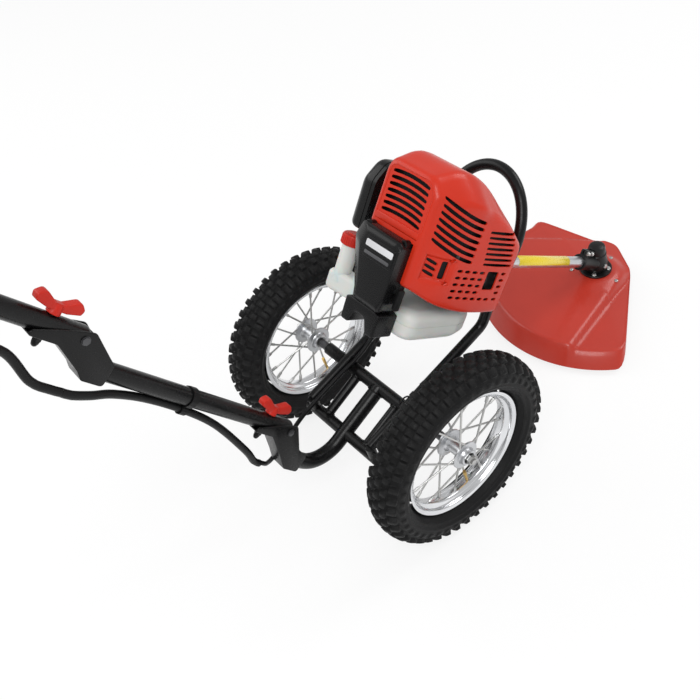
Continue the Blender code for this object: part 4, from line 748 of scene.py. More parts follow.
class CUTTER_OT_cover(bpy.types.Operator):
    """Model the moulded engine cover with its panels, slots, scoop and hump, and the shroud in it"""

    bl_idname = "cutter.cover"
    bl_label = "Engine cover"

    LEFT = -0.0550
    SILL = 0.0620
    INNER = 0.0620
    REAR = -0.1180
    WALL = 0.0026
    SHROUD_GAP = 0.0105    # from the cover's outside to the shroud
    SHROUD_STEPS = 8
    RIB = (-0.0450, 0.0665, 0.0715, 0.0835)
    SCOOP = ((-0.1030, -0.0500), (0.0060, 0.0560))
    SIDE_CUT = (0.070, 0.145)   # how far in and out the cutters of the right side reach
    OPENINGS = ((0.0330, 0.0630, 0.0030, 0.0400), (-0.0700, -0.0580, 0.0140, 0.0480))
    # u, z, pull and reach of the two pulls that raise the hump
    PULLS = ((-0.062, 0.1640, (0.0040, 0.0, 0.0010), 0.030), (-0.030, 0.1560, (0.0060, 0.0, 0.0020), 0.034))
    # u, top z, right end of the top, right side x, right shoulder z, lower edge z
    STATIONS = (
        (-0.1180, 0.1820, 0.0560, 0.0760, 0.1560, -0.0150),
        (-0.0620, 0.2010, 0.0700, 0.1080, 0.1560, -0.0350),
        (-0.0050, 0.1880, 0.0760, 0.1200, 0.1450, -0.0450),
        (0.0500, 0.1500, 0.0840, 0.1270, 0.1260, -0.0460),
        (0.1050, 0.1060, 0.0900, 0.1290, 0.0940, -0.0440),
    )

    def execute(self, context):
        cover = self.shell()
        self.shape(cover)
        refine(cover, "SOLIDIFY", thickness=self.WALL, offset=-1.0, use_even_offset=False)
        apply_all(cover)
        carve(cover, self.slots())
        smooth(cover, 28.0)
        cover.data.materials.append(FINISHES["cover"])
        cover = joined([cover, self.shroud(), self.rib()], "engine_cover_moulding")
        place(cover, LINE)
        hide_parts("engine_cover")
        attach(cover, "chassis")
        return {"FINISHED"}

    def shroud(self):
        """The black shroud that shows through the slots."""
        front = self.STATIONS[-1][0] - 0.0160
        back = self.REAR + 0.0130
        places = [back + (front - back) * i / self.SHROUD_STEPS for i in range(self.SHROUD_STEPS + 1)]
        made = lofted("shroud", [self.ring(u, self.SHROUD_GAP) for u in places])
        made.data.materials.append(FINISHES["plastic"])
        return made

    def rib(self):
        """A raised rib over an open slit that the rear face has under its lowest slot."""
        outline = rounded_outline(panel(*self.RIB, 0.0030))
        made = prism("rib", outline, "Y", self.REAR - 0.0010, self.REAR + 0.0040)
        rounded(made, 0.0008, 2)
        made.data.materials.append(FINISHES["cover"])
        return made

    def ring(self, u, inset):
        """The cover's outline at a place along the drive line, drawn in by an inset."""
        top, top_end, side, shoulder, low = eased(self.STATIONS, u)
        corners = (
            (self.LEFT + inset, self.SILL, 0.0015, 6), (self.LEFT + inset, top - inset, 0.0240, 8),
            (top_end - inset * 0.6, top - inset, 0.0260, 0),
            (side - inset, shoulder - inset * 0.6, 0.0240, 24),
            (side - inset, low + inset * 0.4, 0.0080, 0), (self.INNER, low + inset * 0.4, 0.0015, 0),
            (self.INNER, self.SILL, 0.0010, 0),
        )
        return [(x, u, z) for x, z in rounded_outline(corners)]

    def shell(self):
        """The closed form, rounded behind and in front, with its underside taken off."""
        rear, front = self.REAR, self.STATIONS[-1][0]
        places = [(rear, 0.0085), (rear + 0.0009, 0.0050), (rear + 0.0032, 0.0020), (rear + 0.0075, 0.0002)]
        steps = 22
        first, last = rear + 0.0120, front - 0.0140
        places += [(first + (last - first) * i / steps, 0.0) for i in range(steps + 1)]
        places += [(front - 0.0080, 0.0008), (front - 0.0032, 0.0036), (front - 0.0006, 0.0078),
                   (front, 0.0115)]
        cover = lofted("engine_cover_moulding", [self.ring(u, inset) for u, inset in places])
        only(cover)
        bpy.ops.object.mode_set(mode="EDIT")
        pick(cover, lambda middle, way: self.REAR + 0.004 < middle.y < 0.090 and (
            (way.z < -0.8 and middle.z < 0.07) or (way.x < -0.8 and middle.x > 0.0)))
        bpy.ops.mesh.delete(type="FACE")
        bpy.ops.object.mode_set(mode="OBJECT")
        return cover

    def shape(self, cover):
        """Sink the rear panel and the scoop, and pull the hump out."""
        bpy.ops.object.mode_set(mode="EDIT")
        pick(cover, lambda middle, way: way.y < -0.95 and middle.y < self.REAR + 0.0005)
        bpy.ops.mesh.bisect(plane_co=(0, 0, self.SILL + 0.0050), plane_no=(0, 0, 1))
        pick(cover, lambda middle, way: way.y < -0.95 and middle.y < self.REAR + 0.0005
             and middle.z > self.SILL + 0.02)
        bpy.ops.mesh.inset(thickness=0.0030, depth=0.0)
        bpy.ops.mesh.inset(thickness=0.0016, depth=-0.0020)
        (first, last), (low, high) = self.SCOOP
        for spot, way in (((0, first, 0), (0, 1, 0)), ((0, last, 0), (0, 1, 0)),
                          ((0, 0, low), (0, 0, 1)), ((0, 0, high), (0, 0, 1))):
            bpy.ops.mesh.select_all(action="SELECT")
            bpy.ops.mesh.bisect(plane_co=spot, plane_no=way)
        bpy.ops.mesh.select_all(action="SELECT")
        bpy.ops.mesh.remove_doubles(threshold=0.0004)
        pick(cover, lambda middle, way: way.x > 0.6 and first < middle.y < last
             and low < middle.z < high)
        bpy.ops.mesh.inset(thickness=0.0020, depth=-0.0010, use_even_offset=False)
        bpy.ops.mesh.inset(thickness=0.0040, depth=-0.0050, use_even_offset=False)
        bpy.ops.mesh.select_all(action="DESELECT")
        for u, z, way, size in self.PULLS:
            self.pull(cover, u, z, way, size)
        bpy.ops.object.mode_set(mode="OBJECT")

    def pull(self, cover, u, z, way, size):
        """Pull the surface near a place on the right side, falling off smoothly."""
        bpy.ops.mesh.select_mode(type="VERT")
        bpy.ops.mesh.select_all(action="DESELECT")
        mesh = bmesh.from_edit_mesh(cover.data)
        near = min(
            (v for v in mesh.verts if v.co.x > 0.05), key=lambda v: (v.co.y - u) ** 2 + (v.co.z - z) ** 2
        )
        near.select_set(True)
        bmesh.update_edit_mesh(cover.data)
        bpy.ops.transform.translate(
            value=way, use_proportional_edit=True, proportional_edit_falloff="SMOOTH", proportional_size=size
        )

    def slots(self):
        """Cutters for every slot, the grid and the two openings in the right side."""
        found = []
        for i in range(7):
            z = 0.0905 + i * 0.0118
            outline = slot_outline((-0.0370, z), (0.0590 - 0.0010 * i, z), 0.0040, 0.0070)
            found.append(prism("rear_slot", outline, "Y", self.REAR - 0.01, self.REAR + 0.014))
        low, high = self.SIDE_CUT
        for i in range(7):
            z = 0.0830 + i * 0.0125
            outline = slot_outline((-0.1020, z), (-0.0160, z - 0.0290), -0.0045, 0.0070)
            found.append(prism("falling_slot", outline, "X", low, high))
        for i in range(7):
            z = 0.0530 + i * 0.0102
            outline = slot_outline((0.0140 - i * 0.0018, z), (0.0880 - i * 0.0030, z), 0.0, 0.0062, 2)
            found.append(prism("straight_slot", outline, "X", low, high))
        for i in range(3):
            z = 0.0200 + i * 0.0110
            outline = slot_outline((-0.0940, z + 0.003), (-0.0760, z - 0.003), 0.0, 0.0062, 4)
            found.append(prism("scoop_slot", outline, "X", low, high))
        for row in range(5):
            z = -0.0160 + row * 0.0130
            for u in (-0.0400, -0.0220, -0.0040, 0.0140, 0.0320, 0.0500, 0.0720):
                if -0.0100 < z and 0.0200 < u < 0.0700:
                    continue
                outline = slot_outline((u, z), (u + 0.0110, z), 0, 0.0062, 2)
                found.append(prism("grid_slot", outline, "X", low, high))
        for left, right, bottom, top in self.OPENINGS:
            opening = [(u, z, 0.0040, 0) for u, z in (
                (left, bottom), (left, top), (right, top), (right, bottom))]
            found.append(prism("opening", rounded_outline(opening), "X", low, high))
        for i in range(7):
            u = -0.0350 + i * 0.0110
            outline = slot_outline((0.0500, u), (0.0700, u + 0.004), 0, 0.0042, 2)
            found.append(prism("top_slot", outline, "Z", 0.150, 0.230))
        return found


# ---- Tubes ---------------------------------------------------------------------------------
MACHINE = Matrix.Translation((0, WHEELS["right"].y, TYRE_RADIUS))


def bent(corners, radius, steps=9):
    """A path through the corners, each rounded by an arc of this radius."""
    points = [Vector(corners[0])]
    for before, corner, after in zip(corners, corners[1:], corners[2:]):
        corner = Vector(corner)
        back = (Vector(before) - corner).normalized()
        ahead = (Vector(after) - corner).normalized()
        half = back.angle(ahead) / 2
        reach = radius / math.tan(half)
        centre = corner + (back + ahead).normalized() * (radius / math.sin(half))
        start = corner + back * reach - centre
        normal = start.cross(corner + ahead * reach - centre).normalized()
        swing = math.pi - 2 * half
        points += [centre + Matrix.Rotation(swing * i / steps, 3, normal) @ start for i in range(steps + 1)]
    points.append(Vector(corners[-1]))
    return points


def line_of(name, points, radius, around=4):
    """A curve of one open line through the points, with a round section."""
    curve = bpy.data.curves.new(name, "CURVE")
    curve.dimensions = "3D"
    curve.bevel_depth = radius
    curve.bevel_resolution = around
    curve.use_fill_caps = True
    spline = curve.splines.new("POLY")
    spline.points.add(len(points) - 1)
    for point, spot in zip(spline.points, points):
        point.co = (*spot, 1.0)
    spline.use_smooth = True
    made = bpy.data.objects.new(name, curve)
    bpy.context.collection.objects.link(made)
    return made


def pipe(name, points, radius, around=5):
    """A round tube along a path, as a mesh."""
    made = line_of(name, points, radius, around)
    only(made)
    bpy.ops.object.convert(target="MESH")
    made = named(name)
    smooth(made, 45.0)
    return made


def weld(spot, way, radius, bead=0.0017):
    """A rippled weld bead round a tube at its joint."""
    clear_selection()
    bpy.ops.mesh.primitive_torus_add(
        major_segments=40, minor_segments=8, major_radius=radius + bead * 0.3, minor_radius=bead
    )
    made = named("weld")
    for point in made.data.vertices:
        turn = math.atan2(point.co.y, point.co.x)
        point.co *= 1.0 + 0.018 * math.sin(turn * 17)
    place(made, facing(spot, way))
    smooth(made, 60.0)
    return made


def bolt(spot, way, radius, height):
    """A hexagon bolt head on a washer, facing a way."""
    head = turned("bolt_head", ((0.0012, radius), (height * 0.82, radius), (height, radius * 0.86)), 6)
    washer = turned("washer", ((0.0, radius * 1.35), (0.0009, radius * 1.35), (0.0012, radius * 1.25)), 24)
    made = joined([head, washer], "bolt")
    place(made, facing(spot, way))
    smooth(made, 30.0)
    return made


def screw(spot, way, radius):
    """A pan-head screw with a crossed recess, facing a way."""
    head = turned(
        "screw_head",
        ((0.0, radius), (radius * 0.30, radius), (radius * 0.62, radius * 0.78),
         (radius * 0.72, radius * 0.45)),
        24,
    )
    for turn in (0.0, math.pi / 2):
        slot = prism(
            "recess",
            [(-radius * 0.62, -radius * 0.12), (radius * 0.62, -radius * 0.12),
             (radius * 0.62, radius * 0.12), (-radius * 0.62, radius * 0.12)],
            "Z", radius * 0.40, radius,
        )
        place(slot, Matrix.Rotation(turn, 4, "Z"))
        carve(head, [slot])
    place(head, facing(spot, way))
    smooth(head, 30.0)
    return head


class CUTTER_OT_frame(bpy.types.Operator):
    """Model the welded frame: bent legs and hoop, axle and ladder tubes, engine plate, weld beads"""

    bl_idname = "cutter.frame"
    bl_label = "Frame"

    LEG = 0.0110
    LEG_X = 0.0910
    HOOP_X = 0.1000
    SPRING = (0.2906, 0.2320)
    FOOT = (0.2200, 0.1275)
    RISE = 0.1240
    LADDER = (-0.1003, -0.0526)

    def execute(self, context):
        items = [pipe("legs", self.legs(), self.LEG, 6)]
        items.append(rod("axle_tube", (-0.1650, 0, 0), (0.1650, 0, 0), 0.0130, 32))
        items.append(rod("cross_tube", (-0.1150, *self.LADDER), (0.1150, *self.LADDER), 0.0120, 32))
        for x in (-0.0600, 0.0600):
            items.append(rod("ladder", (x, 0, 0), (x, *self.LADDER), 0.0100, 24))
        for x in (-self.LEG_X, self.LEG_X):
            items.append(rod("stub", (x, -0.1055, -0.0145), (x, *self.LADDER), 0.0100, 24))
        items.append(pipe("centre_tube", self.centre(), 0.0160, 6))
        items += self.welds()
        frame_tubes = joined(items, "welded_frame")
        place(frame_tubes, MACHINE)
        plate = self.plate()
        made = joined([frame_tubes, plate], "welded_frame")
        wear(made, "paint")
        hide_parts("frame")
        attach(made, "chassis")
        return {"FINISHED"}

    def legs(self):
        """The bent main tube, from one leg's rear end over the hoop to the other's."""
        right = bent(
            [(self.LEG_X, -0.1055, -0.0145), (self.LEG_X, 0.2060, 0.0870), (self.LEG_X + 0.004, *self.FOOT),
             (self.HOOP_X, *self.SPRING)], 0.030,
        )
        rise = (Vector((0, *self.SPRING)) - Vector((0, *self.FOOT))).normalized()
        for i in range(1, 25):
            turn = math.pi / 2 * i / 24
            spot = Vector((self.HOOP_X * math.cos(turn), *self.SPRING)) + rise * self.RISE * math.sin(turn)
            right.append(spot)
        return right + [Vector((-p.x, p.y, p.z)) for p in reversed(right[:-1])]

    def centre(self):
        """The tube from the axle down round to the handle's bracket."""
        back = Vector((0, -SLOPE_OUT.z, SLOPE_OUT.y))
        out = Vector((0, SLOPE_OUT.y, SLOPE_OUT.z))
        end = back * 0.1120 + out * -0.1960
        turn = back * 0.0220 + out * -0.1960
        return [Vector((0, 0, 0))] + bent([(0, *self.LADDER), tuple(turn), tuple(end)], 0.0700, 16)

    def welds(self):
        """A bead at each joint of the tubes."""
        down = Vector((0, *self.LADDER)).normalized()
        found = []
        for x in (-0.0600, 0.0600):
            found.append(weld(Vector((x, 0, 0)) + down * 0.0130, down, 0.0100))
            found.append(weld(Vector((x, *self.LADDER)) - down * 0.0120, down, 0.0100))
        found.append(weld(down * 0.0130, down, 0.0160))
        for side in (-1, 1):
            found.append(weld((side * (self.LEG_X - 0.0105), 0, 0.0190), (1, 0, 0), 0.0128))
        return found

    def plate(self):
        """The plate between the hoop's legs that carries the clutch case, with its four bolts."""
        corners = ((-0.0985, -0.0500, 0.006), (-0.0985, -0.0280, 0.006), (-0.0400, 0.0300, 0.012),
                   (0.0400, 0.0300, 0.012), (0.0985, -0.0280, 0.006), (0.0985, -0.0500, 0.006))
        outline = rounded_outline([(a, b, radius, 0) for a, b, radius in corners])
        plate = prism("engine_plate", outline, "Y", 0.1175, 0.1225)
        hole = turned("plate_hole", ((-0.01, 0.0268), (0.01, 0.0268)), 40)
        place(hole, Matrix.Translation((0, 0.1200, 0)) @ Matrix.Rotation(math.pi / 2, 4, "X"))
        carve(plate, [hole])
        rounded(plate, 0.0008, 2)
        spots = [(x, 0.1225, z) for x in (-0.031, 0.031) for z in (-0.030, 0.014)]
        bolts = [bolt(spot, (0, 1, 0), 0.0050, 0.0045) for spot in spots]
        made = joined([plate, *bolts], "engine_plate")
        place(made, LINE)
        return made


class CUTTER_OT_stems(bpy.types.Operator):
    """Model the round stems, each with a domed end"""

    bl_idname = "cutter.stems"
    bl_label = "Stems"

    def execute(self, context):
        for word, frame_at, length, body in (
            ("lower", LOWER, 0.4700, "lower_handle"), ("upper", UPPER, 0.3600, "upper_handle"),
        ):
            foot = [(-0.0160 * math.cos(a), 0.0160 * math.sin(a)) for a in (0.30, 0.60, 0.90, 1.20, 1.45)]
            made = turned(f"{word}_stem_tube", (*foot, (length - 0.001, 0.0160), (length, 0.0152)), 40)
            place(made, Matrix.Rotation(math.pi / 2, 4, "X"))
            place(made, frame_at)
            smooth(made, 35.0)
            wear(made, "paint")
            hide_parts(f"{word}_stem")
            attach(made, body)
        return {"FINISHED"}


class CUTTER_OT_knobs(bpy.types.Operator):
    """Model the red wing knobs and the clamp screws that they turn on"""

    bl_idname = "cutter.knobs"
    bl_label = "Clamp knobs"

    OUT = 0.0570           # clamp screw's distance above the fold pin

    def execute(self, context):
        knob = self.knob()
        stud = rod("stud", (0, 0, -0.0320), (0, 0, 0.0040), 0.0038, 24)
        for word, frame_at, body in (("lower", LOWER, "lower_screw"), ("upper", UPPER, "upper_screw")):
            seat = frame_at @ Matrix.Translation((0, -self.OUT, 0.0163))
            turned_knob = copy_of(knob, seat)
            turned_knob.name = turned_knob.data.name = f"{word}_wing_knob"
            wear(turned_knob, "knob")
            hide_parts(f"{word}_knob")
            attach(turned_knob, body)
            pin = copy_of(stud, seat)
            pin.name = pin.data.name = f"{word}_stud"
            wear(pin, "steel")
            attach(pin, body)
        bpy.data.objects.remove(knob)
        bpy.data.objects.remove(stud)
        return {"FINISHED"}

    def knob(self):
        """One moulded butterfly knob with its hub."""
        half = ((0.0040, 0.0060, 0.002), (0.0160, 0.0062, 0.004), (0.0376, 0.0112, 0.004),
                (0.0400, 0.0198, 0.005), (0.0296, 0.0300, 0.008), (0.0070, 0.0175, 0.006))
        corners = [(a, b, r, 0) for a, b, r in half] + [(-a, b, r, 0) for a, b, r in reversed(half)]
        wings = prism("wings", rounded_outline(corners), "X", -0.0080, 0.0080)
        rounded(wings, 0.0036, 4)
        hub = turned(
            "hub",
            ((0.0, 0.0104), (0.0010, 0.0110), (0.0145, 0.0100), (0.0160, 0.0088), (0.0165, 0.0060)),
            36,
        )
        smooth(hub, 35.0)
        return joined([wings, hub], "wing_knob")


# ---- Cutter head ---------------------------------------------------------------------------
class CUTTER_OT_guard(bpy.types.Operator):
    """Model the fan-shaped guard: raised fan, flat wings, flared skirt, rim bead and screws"""

    bl_idname = "cutter.guard"
    bl_label = "Guard"

    CORNERS = ((-0.2750, 0.0760), (-0.0300, 0.1160), (0.0560, 0.0620), (0.2080, -0.1500))
    TOP = 0.2480
    BOTTOM = 0.2720
    FLAT = -0.0500
    SKIRT = 0.0340
    RAISE = 0.0270
    HUB = 0.0242
    HUB_Z = -0.0203
    FOLDS = (((-0.2211, 0.0038), (-0.1043, 0.0920)), ((0.0756, -0.0020), (0.1222, -0.2158)))
    RAYS = 240
    SCREWS = ((0.0600, 0.0020), (0.0010, 0.0560), (-0.0480, 0.0160), (-0.0400, -0.0380))

    def execute(self, context):
        turns = [math.tau * i / self.RAYS for i in range(self.RAYS)]
        reaches, skirts = self.softened([self.reach(turn) for turn in turns])
        rings = []
        shares = [0.0, 0.03, 0.06, 0.10, 0.14, *[0.19 + 0.045 * i for i in range(16)], 0.905, 0.93, 0.955,
                  0.975, 0.988]
        for share in shares:
            ring = []
            for turn, reach in zip(turns, reaches):
                radius = self.HUB + (reach - self.HUB) * share
                ring.append(self.spot(turn, radius, self.height(turn, radius, reach)))
            rings.append(ring)
        for out, fall in ((0.0, 0.0016), (0.30, 0.0100), (0.65, 0.0200), (1.0, None)):
            ring = []
            for turn, reach, skirt in zip(turns, reaches, skirts):
                top = self.height(turn, reach * 0.988, reach)
                low_skirt = self.FLAT - self.SKIRT
                low_lip = top - 0.0060
                end = low_lip + (low_skirt - low_lip) * skirt
                last = reach + (self.BOTTOM - self.TOP) * out * skirt
                drop = end if fall is None else top - (top - end) * (fall / 0.0330)
                ring.append(self.spot(turn, last, drop))
            rings.append(ring)
        guard = lofted("guard_fan", rings, caps=False)
        self.face_up(guard)
        refine(guard, "SOLIDIFY", thickness=0.0028, offset=-1.0)
        apply_all(guard)
        place(guard, HEAD)
        smooth(guard, 40.0)
        wear(guard, "guard")
        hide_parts("guard")
        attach(guard, "chassis")
        screws = []
        for x, y in self.SCREWS:
            turn, radius = math.atan2(y, x), math.hypot(x, y)
            seat = self.height(turn, radius, self.reach(turn)[0])
            screws.append(screw((x, y, seat - 0.0006), (0, 0, 1), 0.0048))
        screws = joined(screws, "guard_screws")
        place(screws, HEAD)
        wear(screws, "steel")
        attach(screws, "chassis")
        return {"FINISHED"}

    def face_up(self, guard):
        """Turn the skin's faces up."""
        if sum(face.normal.z * face.area for face in guard.data.polygons) < 0:
            guard.data.flip_normals()

    def spot(self, turn, radius, z):
        """A point at an angle and a distance from the spindle."""
        return (radius * math.cos(turn), radius * math.sin(turn), z)

    def reach(self, turn):
        """Distance from the spindle to the top edge, and whether a skirt hangs there."""
        way = Vector((math.cos(turn), math.sin(turn)))
        for first, second in zip(self.CORNERS, self.CORNERS[1:]):
            a, edge = Vector(first), Vector(second) - Vector(first)
            cross = way.x * edge.y - way.y * edge.x
            if abs(cross) < 1e-9:
                continue
            far = (a.x * edge.y - a.y * edge.x) / cross
            share = (a.x * way.y - a.y * way.x) / cross
            if far > 0 and 0 <= share <= 1:
                return far, 0.0
        return self.TOP, 1.0

    def softened(self, found):
        """Round the outline's corners and the skirt's ends by averaging over neighbouring rays."""
        reaches, skirts = [], []
        for i, (reach, _) in enumerate(found):
            width = max(2, round(0.020 / reach / math.tau * self.RAYS))
            near = [found[(i + k) % self.RAYS] for k in range(-width, width + 1)]
            heft = [1 + math.cos(math.pi * k / (width + 1)) for k in range(-width, width + 1)]
            total = sum(heft)
            reaches.append(sum(r * h for (r, _), h in zip(near, heft)) / total)
            skirts.append(sum(s * h for (_, s), h in zip(near, heft)) / total)
        return reaches, skirts

    def height(self, turn, radius, reach):
        """Height of the skin: the hub's seat, the raised fan, the flat wings and a low rim bead."""
        spot = Vector((radius * math.cos(turn), radius * math.sin(turn)))
        inside = []
        for first, second in self.FOLDS:
            along = (Vector(second) - Vector(first)).normalized()
            past = spot - Vector(first)
            inside.append(along.y * past.x - along.x * past.y)
        share = max(0.0, min(1.0, min(inside) / 0.0140))
        share = share * share * (3 - 2 * share)
        out = max(0.0, min(1.0, (radius - 0.0400) / (reach - 0.0400)))
        far = 0.25 + 0.65 * share - 0.25 * out + (-0.20 * share) * out
        seat = max(0.0, min(1.0, (0.0760 - radius) / 0.0360))
        seat = seat * seat * (3 - 2 * seat)
        z = self.FLAT + self.RAISE * max(0.0, far)
        z = z * (1 - seat) + self.HUB_Z * seat
        bead = max(0.0, 1 - abs(out - 0.965) / 0.022)
        return z + 0.0016 * bead


class CUTTER_OT_gear_head(bpy.types.Operator):
    """Model the gear head casting with its clamp, bolts, plug and flange, and the yellow sleeve"""

    bl_idname = "cutter.gear_head"
    bl_label = "Gear head"

    def execute(self, context):
        ball = turned(
            "head_ball",
            ((-0.0400, 0.0215), (-0.0202, 0.0222), (-0.0200, 0.0376), (-0.0192, 0.0380), (-0.0158, 0.0380),
             (-0.0150, 0.0372), (-0.0150, 0.0238), (-0.0120, 0.0264), (-0.0040, 0.0270), (0.0060, 0.0270),
             (0.0120, 0.0255), (0.0170, 0.0238), (0.0300, 0.0228), (0.0320, 0.0206), (0.0440, 0.0200),
             (0.0500, 0.0180), (0.0530, 0.0130)), 56,
        )
        smooth(ball, 32.0)
        local = LINE.to_3x3().to_4x4()
        socket = turned(
            "socket",
            ((-0.0760, 0.0178), (-0.0750, 0.0190), (-0.0700, 0.0192), (-0.0600, 0.0186), (-0.0380, 0.0190),
             (-0.0300, 0.0206), (-0.0100, 0.0230), (0.0040, 0.0210)), 48,
        )
        place(socket, Matrix.Rotation(-math.pi / 2, 4, "X"))
        smooth(socket, 32.0)
        lugs = []
        for x in (-0.0072, 0.0012):
            outline = rounded_outline([(a, b, 0.0045, 0) for a, b in (
                (-0.0740, 0.0150), (-0.0740, 0.0310), (-0.0400, 0.0310), (-0.0400, 0.0150))])
            lug = prism("lug", outline, "X", x, x + 0.0060)
            rounded(lug, 0.0010, 2)
            lugs.append(lug)
        bolts = [bolt((0.0072, u, 0.0240), (1, 0, 0), 0.0042, 0.0050) for u in (-0.0650, -0.0490)]
        clamp = joined([socket, *lugs], "head_clamp")
        place(clamp, local)
        casting = joined([ball, clamp], "gear_head_casting")
        place(casting, HEAD)
        wear(casting, "head")
        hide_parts("gear_head")
        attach(casting, "chassis")
        fixings = joined(bolts, "clamp_bolts")
        place(fixings, local)
        rest = [
            bolt((0.0300 * math.cos(a), 0.0300 * math.sin(a), -0.0150), (0, 0, 1), 0.0040, 0.0045)
            for a in (0.5, 2.1, 3.7, 5.3)
        ]
        plug = turned("plug", ((0.0, 0.0060), (0.0030, 0.0060), (0.0040, 0.0050)), 6)
        place(plug, Matrix.Translation((0.0262, 0.0, 0.0020)) @ Matrix.Rotation(math.pi / 2, 4, "Y"))
        fixings = joined([fixings, *rest, plug], "head_bolts")
        place(fixings, HEAD)
        wear(fixings, "steel")
        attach(fixings, "chassis")
        self.sleeve()
        return {"FINISHED"}

    def sleeve(self):
        """The yellow sleeve, which wraps the upper side of the shaft tube only."""
        turns = [math.radians(-8.0 + 196.0 * i / 32) for i in range(33)]
        rings = []
        for u, radius in ((0.3000, 0.0133), (0.3006, 0.0137), (0.4944, 0.0137), (0.4950, 0.0133)):
            outer = [(radius * math.cos(a), u, radius * math.sin(a)) for a in turns]
            inner = [(0.0126 * math.cos(a), u, 0.0126 * math.sin(a)) for a in reversed(turns)]
            rings.append(outer + inner)
        made = lofted("band_sleeve", rings)
        smooth(made, 35.0)
        place(made, LINE)
        wear(made, "band")
        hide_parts("shaft_band")
        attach(made, "chassis")


# ---- Starter, filter and tank ---------------------------------------------------------------
def domed(name, corners, stations, axis="Y"):
    """A moulding of a rounded outline, drawn in by the inset of each station along its axis."""
    rings = []
    middle_a = sum(a for a, b, r, s in corners) / len(corners)
    middle_b = sum(b for a, b, r, s in corners) / len(corners)
    for spot, inset in stations:
        drawn = []
        for a, b, radius, splits in corners:
            da, db = a - middle_a, b - middle_b
            in_a = a - math.copysign(min(inset, abs(da)), da)
            in_b = b - math.copysign(min(inset, abs(db)), db)
            drawn.append((in_a, in_b, max(0.001, radius - inset * 0.35), splits))
        rings.append([laid(axis, spot, a, b) for a, b in rounded_outline(drawn, 7)])
    made = lofted(name, rings)
    smooth(made, 30.0)
    return made


def shoulder(start, end, radius, steps=6):
    """Stations of a rounded edge: from a place on the wall to the flat end, with growing insets."""
    way = 1 if end > start else -1
    turns = [math.pi / 2 * i / steps for i in range(steps + 1)]
    return [(end - way * radius + way * radius * math.sin(t), radius * (1 - math.cos(t))) for t in turns]


class CUTTER_OT_starter(bpy.types.Operator):
    """Model the recoil starter's housing with its bosses, bare bars, screws and pull handle"""

    bl_idname = "cutter.starter"
    bl_label = "Starter"

    HALF = 0.0617
    LOW = -0.0760
    HIGH = 0.0617
    FRONT = -0.1003
    BACK = -0.1500
    EARS = ((-0.0400, 0.0560), (0.0500, 0.0560), (-0.0120, -0.0520), (0.0480, -0.0520))

    def execute(self, context):
        w, low, high = self.HALF, self.LOW, self.HIGH
        corners = (
            (-0.0180, low, 0.010, 0), (w - 0.0080, low, 0.010, 0), (w, low + 0.0240, 0.016, 0),
            (w, high - 0.0100, 0.010, 0), (w - 0.0110, high, 0.010, 0), (-w + 0.0110, high, 0.010, 0),
            (-w, 0.0300, 0.016, 0), (-0.0240, -0.0560, 0.016, 0),
        )
        stations = [(self.FRONT, 0.0), (self.FRONT - 0.0030, 0.0), (self.FRONT - 0.0036, 0.0012),
                    (self.FRONT - 0.0050, 0.0012), (self.FRONT - 0.0056, 0.0)]
        stations += shoulder(self.FRONT, self.BACK + 0.0020, 0.0130)
        housing = domed("starter_case", corners, stations)
        for vertex in housing.data.vertices:
            lean = max(0.0, min(1.0, (-0.1340 - vertex.co.y) / 0.0140))
            if vertex.co.x < 0:
                vertex.co.x *= 1 - 0.42 * lean
            else:
                vertex.co.x = min(w, vertex.co.x * (1 + 0.16 * lean))
        room = turned("room", ((-0.1300, 0.0415), (self.FRONT + 0.01, 0.0415)), 48)
        place(room, Matrix.Rotation(-math.pi / 2, 4, "X"))
        carve(housing, [room])
        smooth(housing, 30.0)
        stations = ((self.BACK + 0.006, 0.0), (self.BACK + 0.0014, 0.0),
                    (self.BACK + 0.0006, 0.0006), (self.BACK + 0.0004, 0.0014))
        pad = domed("pad", panel(-0.0180, 0.0560, 0.0080, 0.0460, 0.005), stations)
        ears = []
        for x, z in self.EARS:
            ear = turned("ear", ((0.0, 0.0095), (0.0290, 0.0090), (0.0310, 0.0075)), 32)
            seat = Matrix.Translation((x, self.FRONT - 0.0010, z))
            place(ear, seat @ Matrix.Rotation(math.pi / 2, 4, "X"))
            smooth(ear, 35.0)
            ears.append(ear)
        made = joined([housing, pad, *ears], "recoil_starter")
        place(made, LINE)
        wear(made, "gloss")
        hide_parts("starter_housing")
        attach(made, "chassis")
        self.plates()
        screws = [screw((x, self.FRONT - 0.0320, z), (0, -1, 0), 0.0046)
                  for x, z in self.EARS]
        screws = joined(screws, "starter_screws")
        place(screws, LINE)
        wear(screws, "steel")
        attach(screws, "chassis")
        self.handle()
        return {"FINISHED"}

    def plates(self):
        """Two bare bars: a bright one above a narrower grey one."""
        stations = ((self.BACK + 0.0008, 0.0), (self.BACK, 0.0), (self.BACK - 0.0002, 0.0004))
        for name, finish, corners in (
            ("bare_plate", "plate", panel(-0.0160, 0.0535, 0.0280, 0.0400, 0.003)),
            ("bare_strip", "strip", panel(-0.0140, 0.0500, 0.0140, 0.0200, 0.002)),
        ):
            bar = domed(name, corners, stations)
            place(bar, LINE)
            wear(bar, finish)
            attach(bar, "chassis")

    def handle(self):
        """The T-shaped pull handle."""
        stalk = turned("stalk", ((0.0, 0.0050), (0.0050, 0.0075), (0.0130, 0.0075), (0.0160, 0.0050)), 32)
        place(stalk, ON_AXLE)
        smooth(stalk, 35.0)
        outline = rounded_outline(panel(-0.0068, 0.0068, -0.0205, 0.0205, 0.0050), 6)
        bar = prism("pull_bar", outline, "X", 0.0065, 0.0158)
        rounded(bar, 0.0024, 3)
        made = joined([stalk, bar], "pull_handle")
        place(made, LINE @ Matrix.Translation((self.HALF + 0.0003, -0.1200, -0.0400)))
        wear(made, "plastic")
        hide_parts("starter_handle")
        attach(made, body_of("starter_handle"))


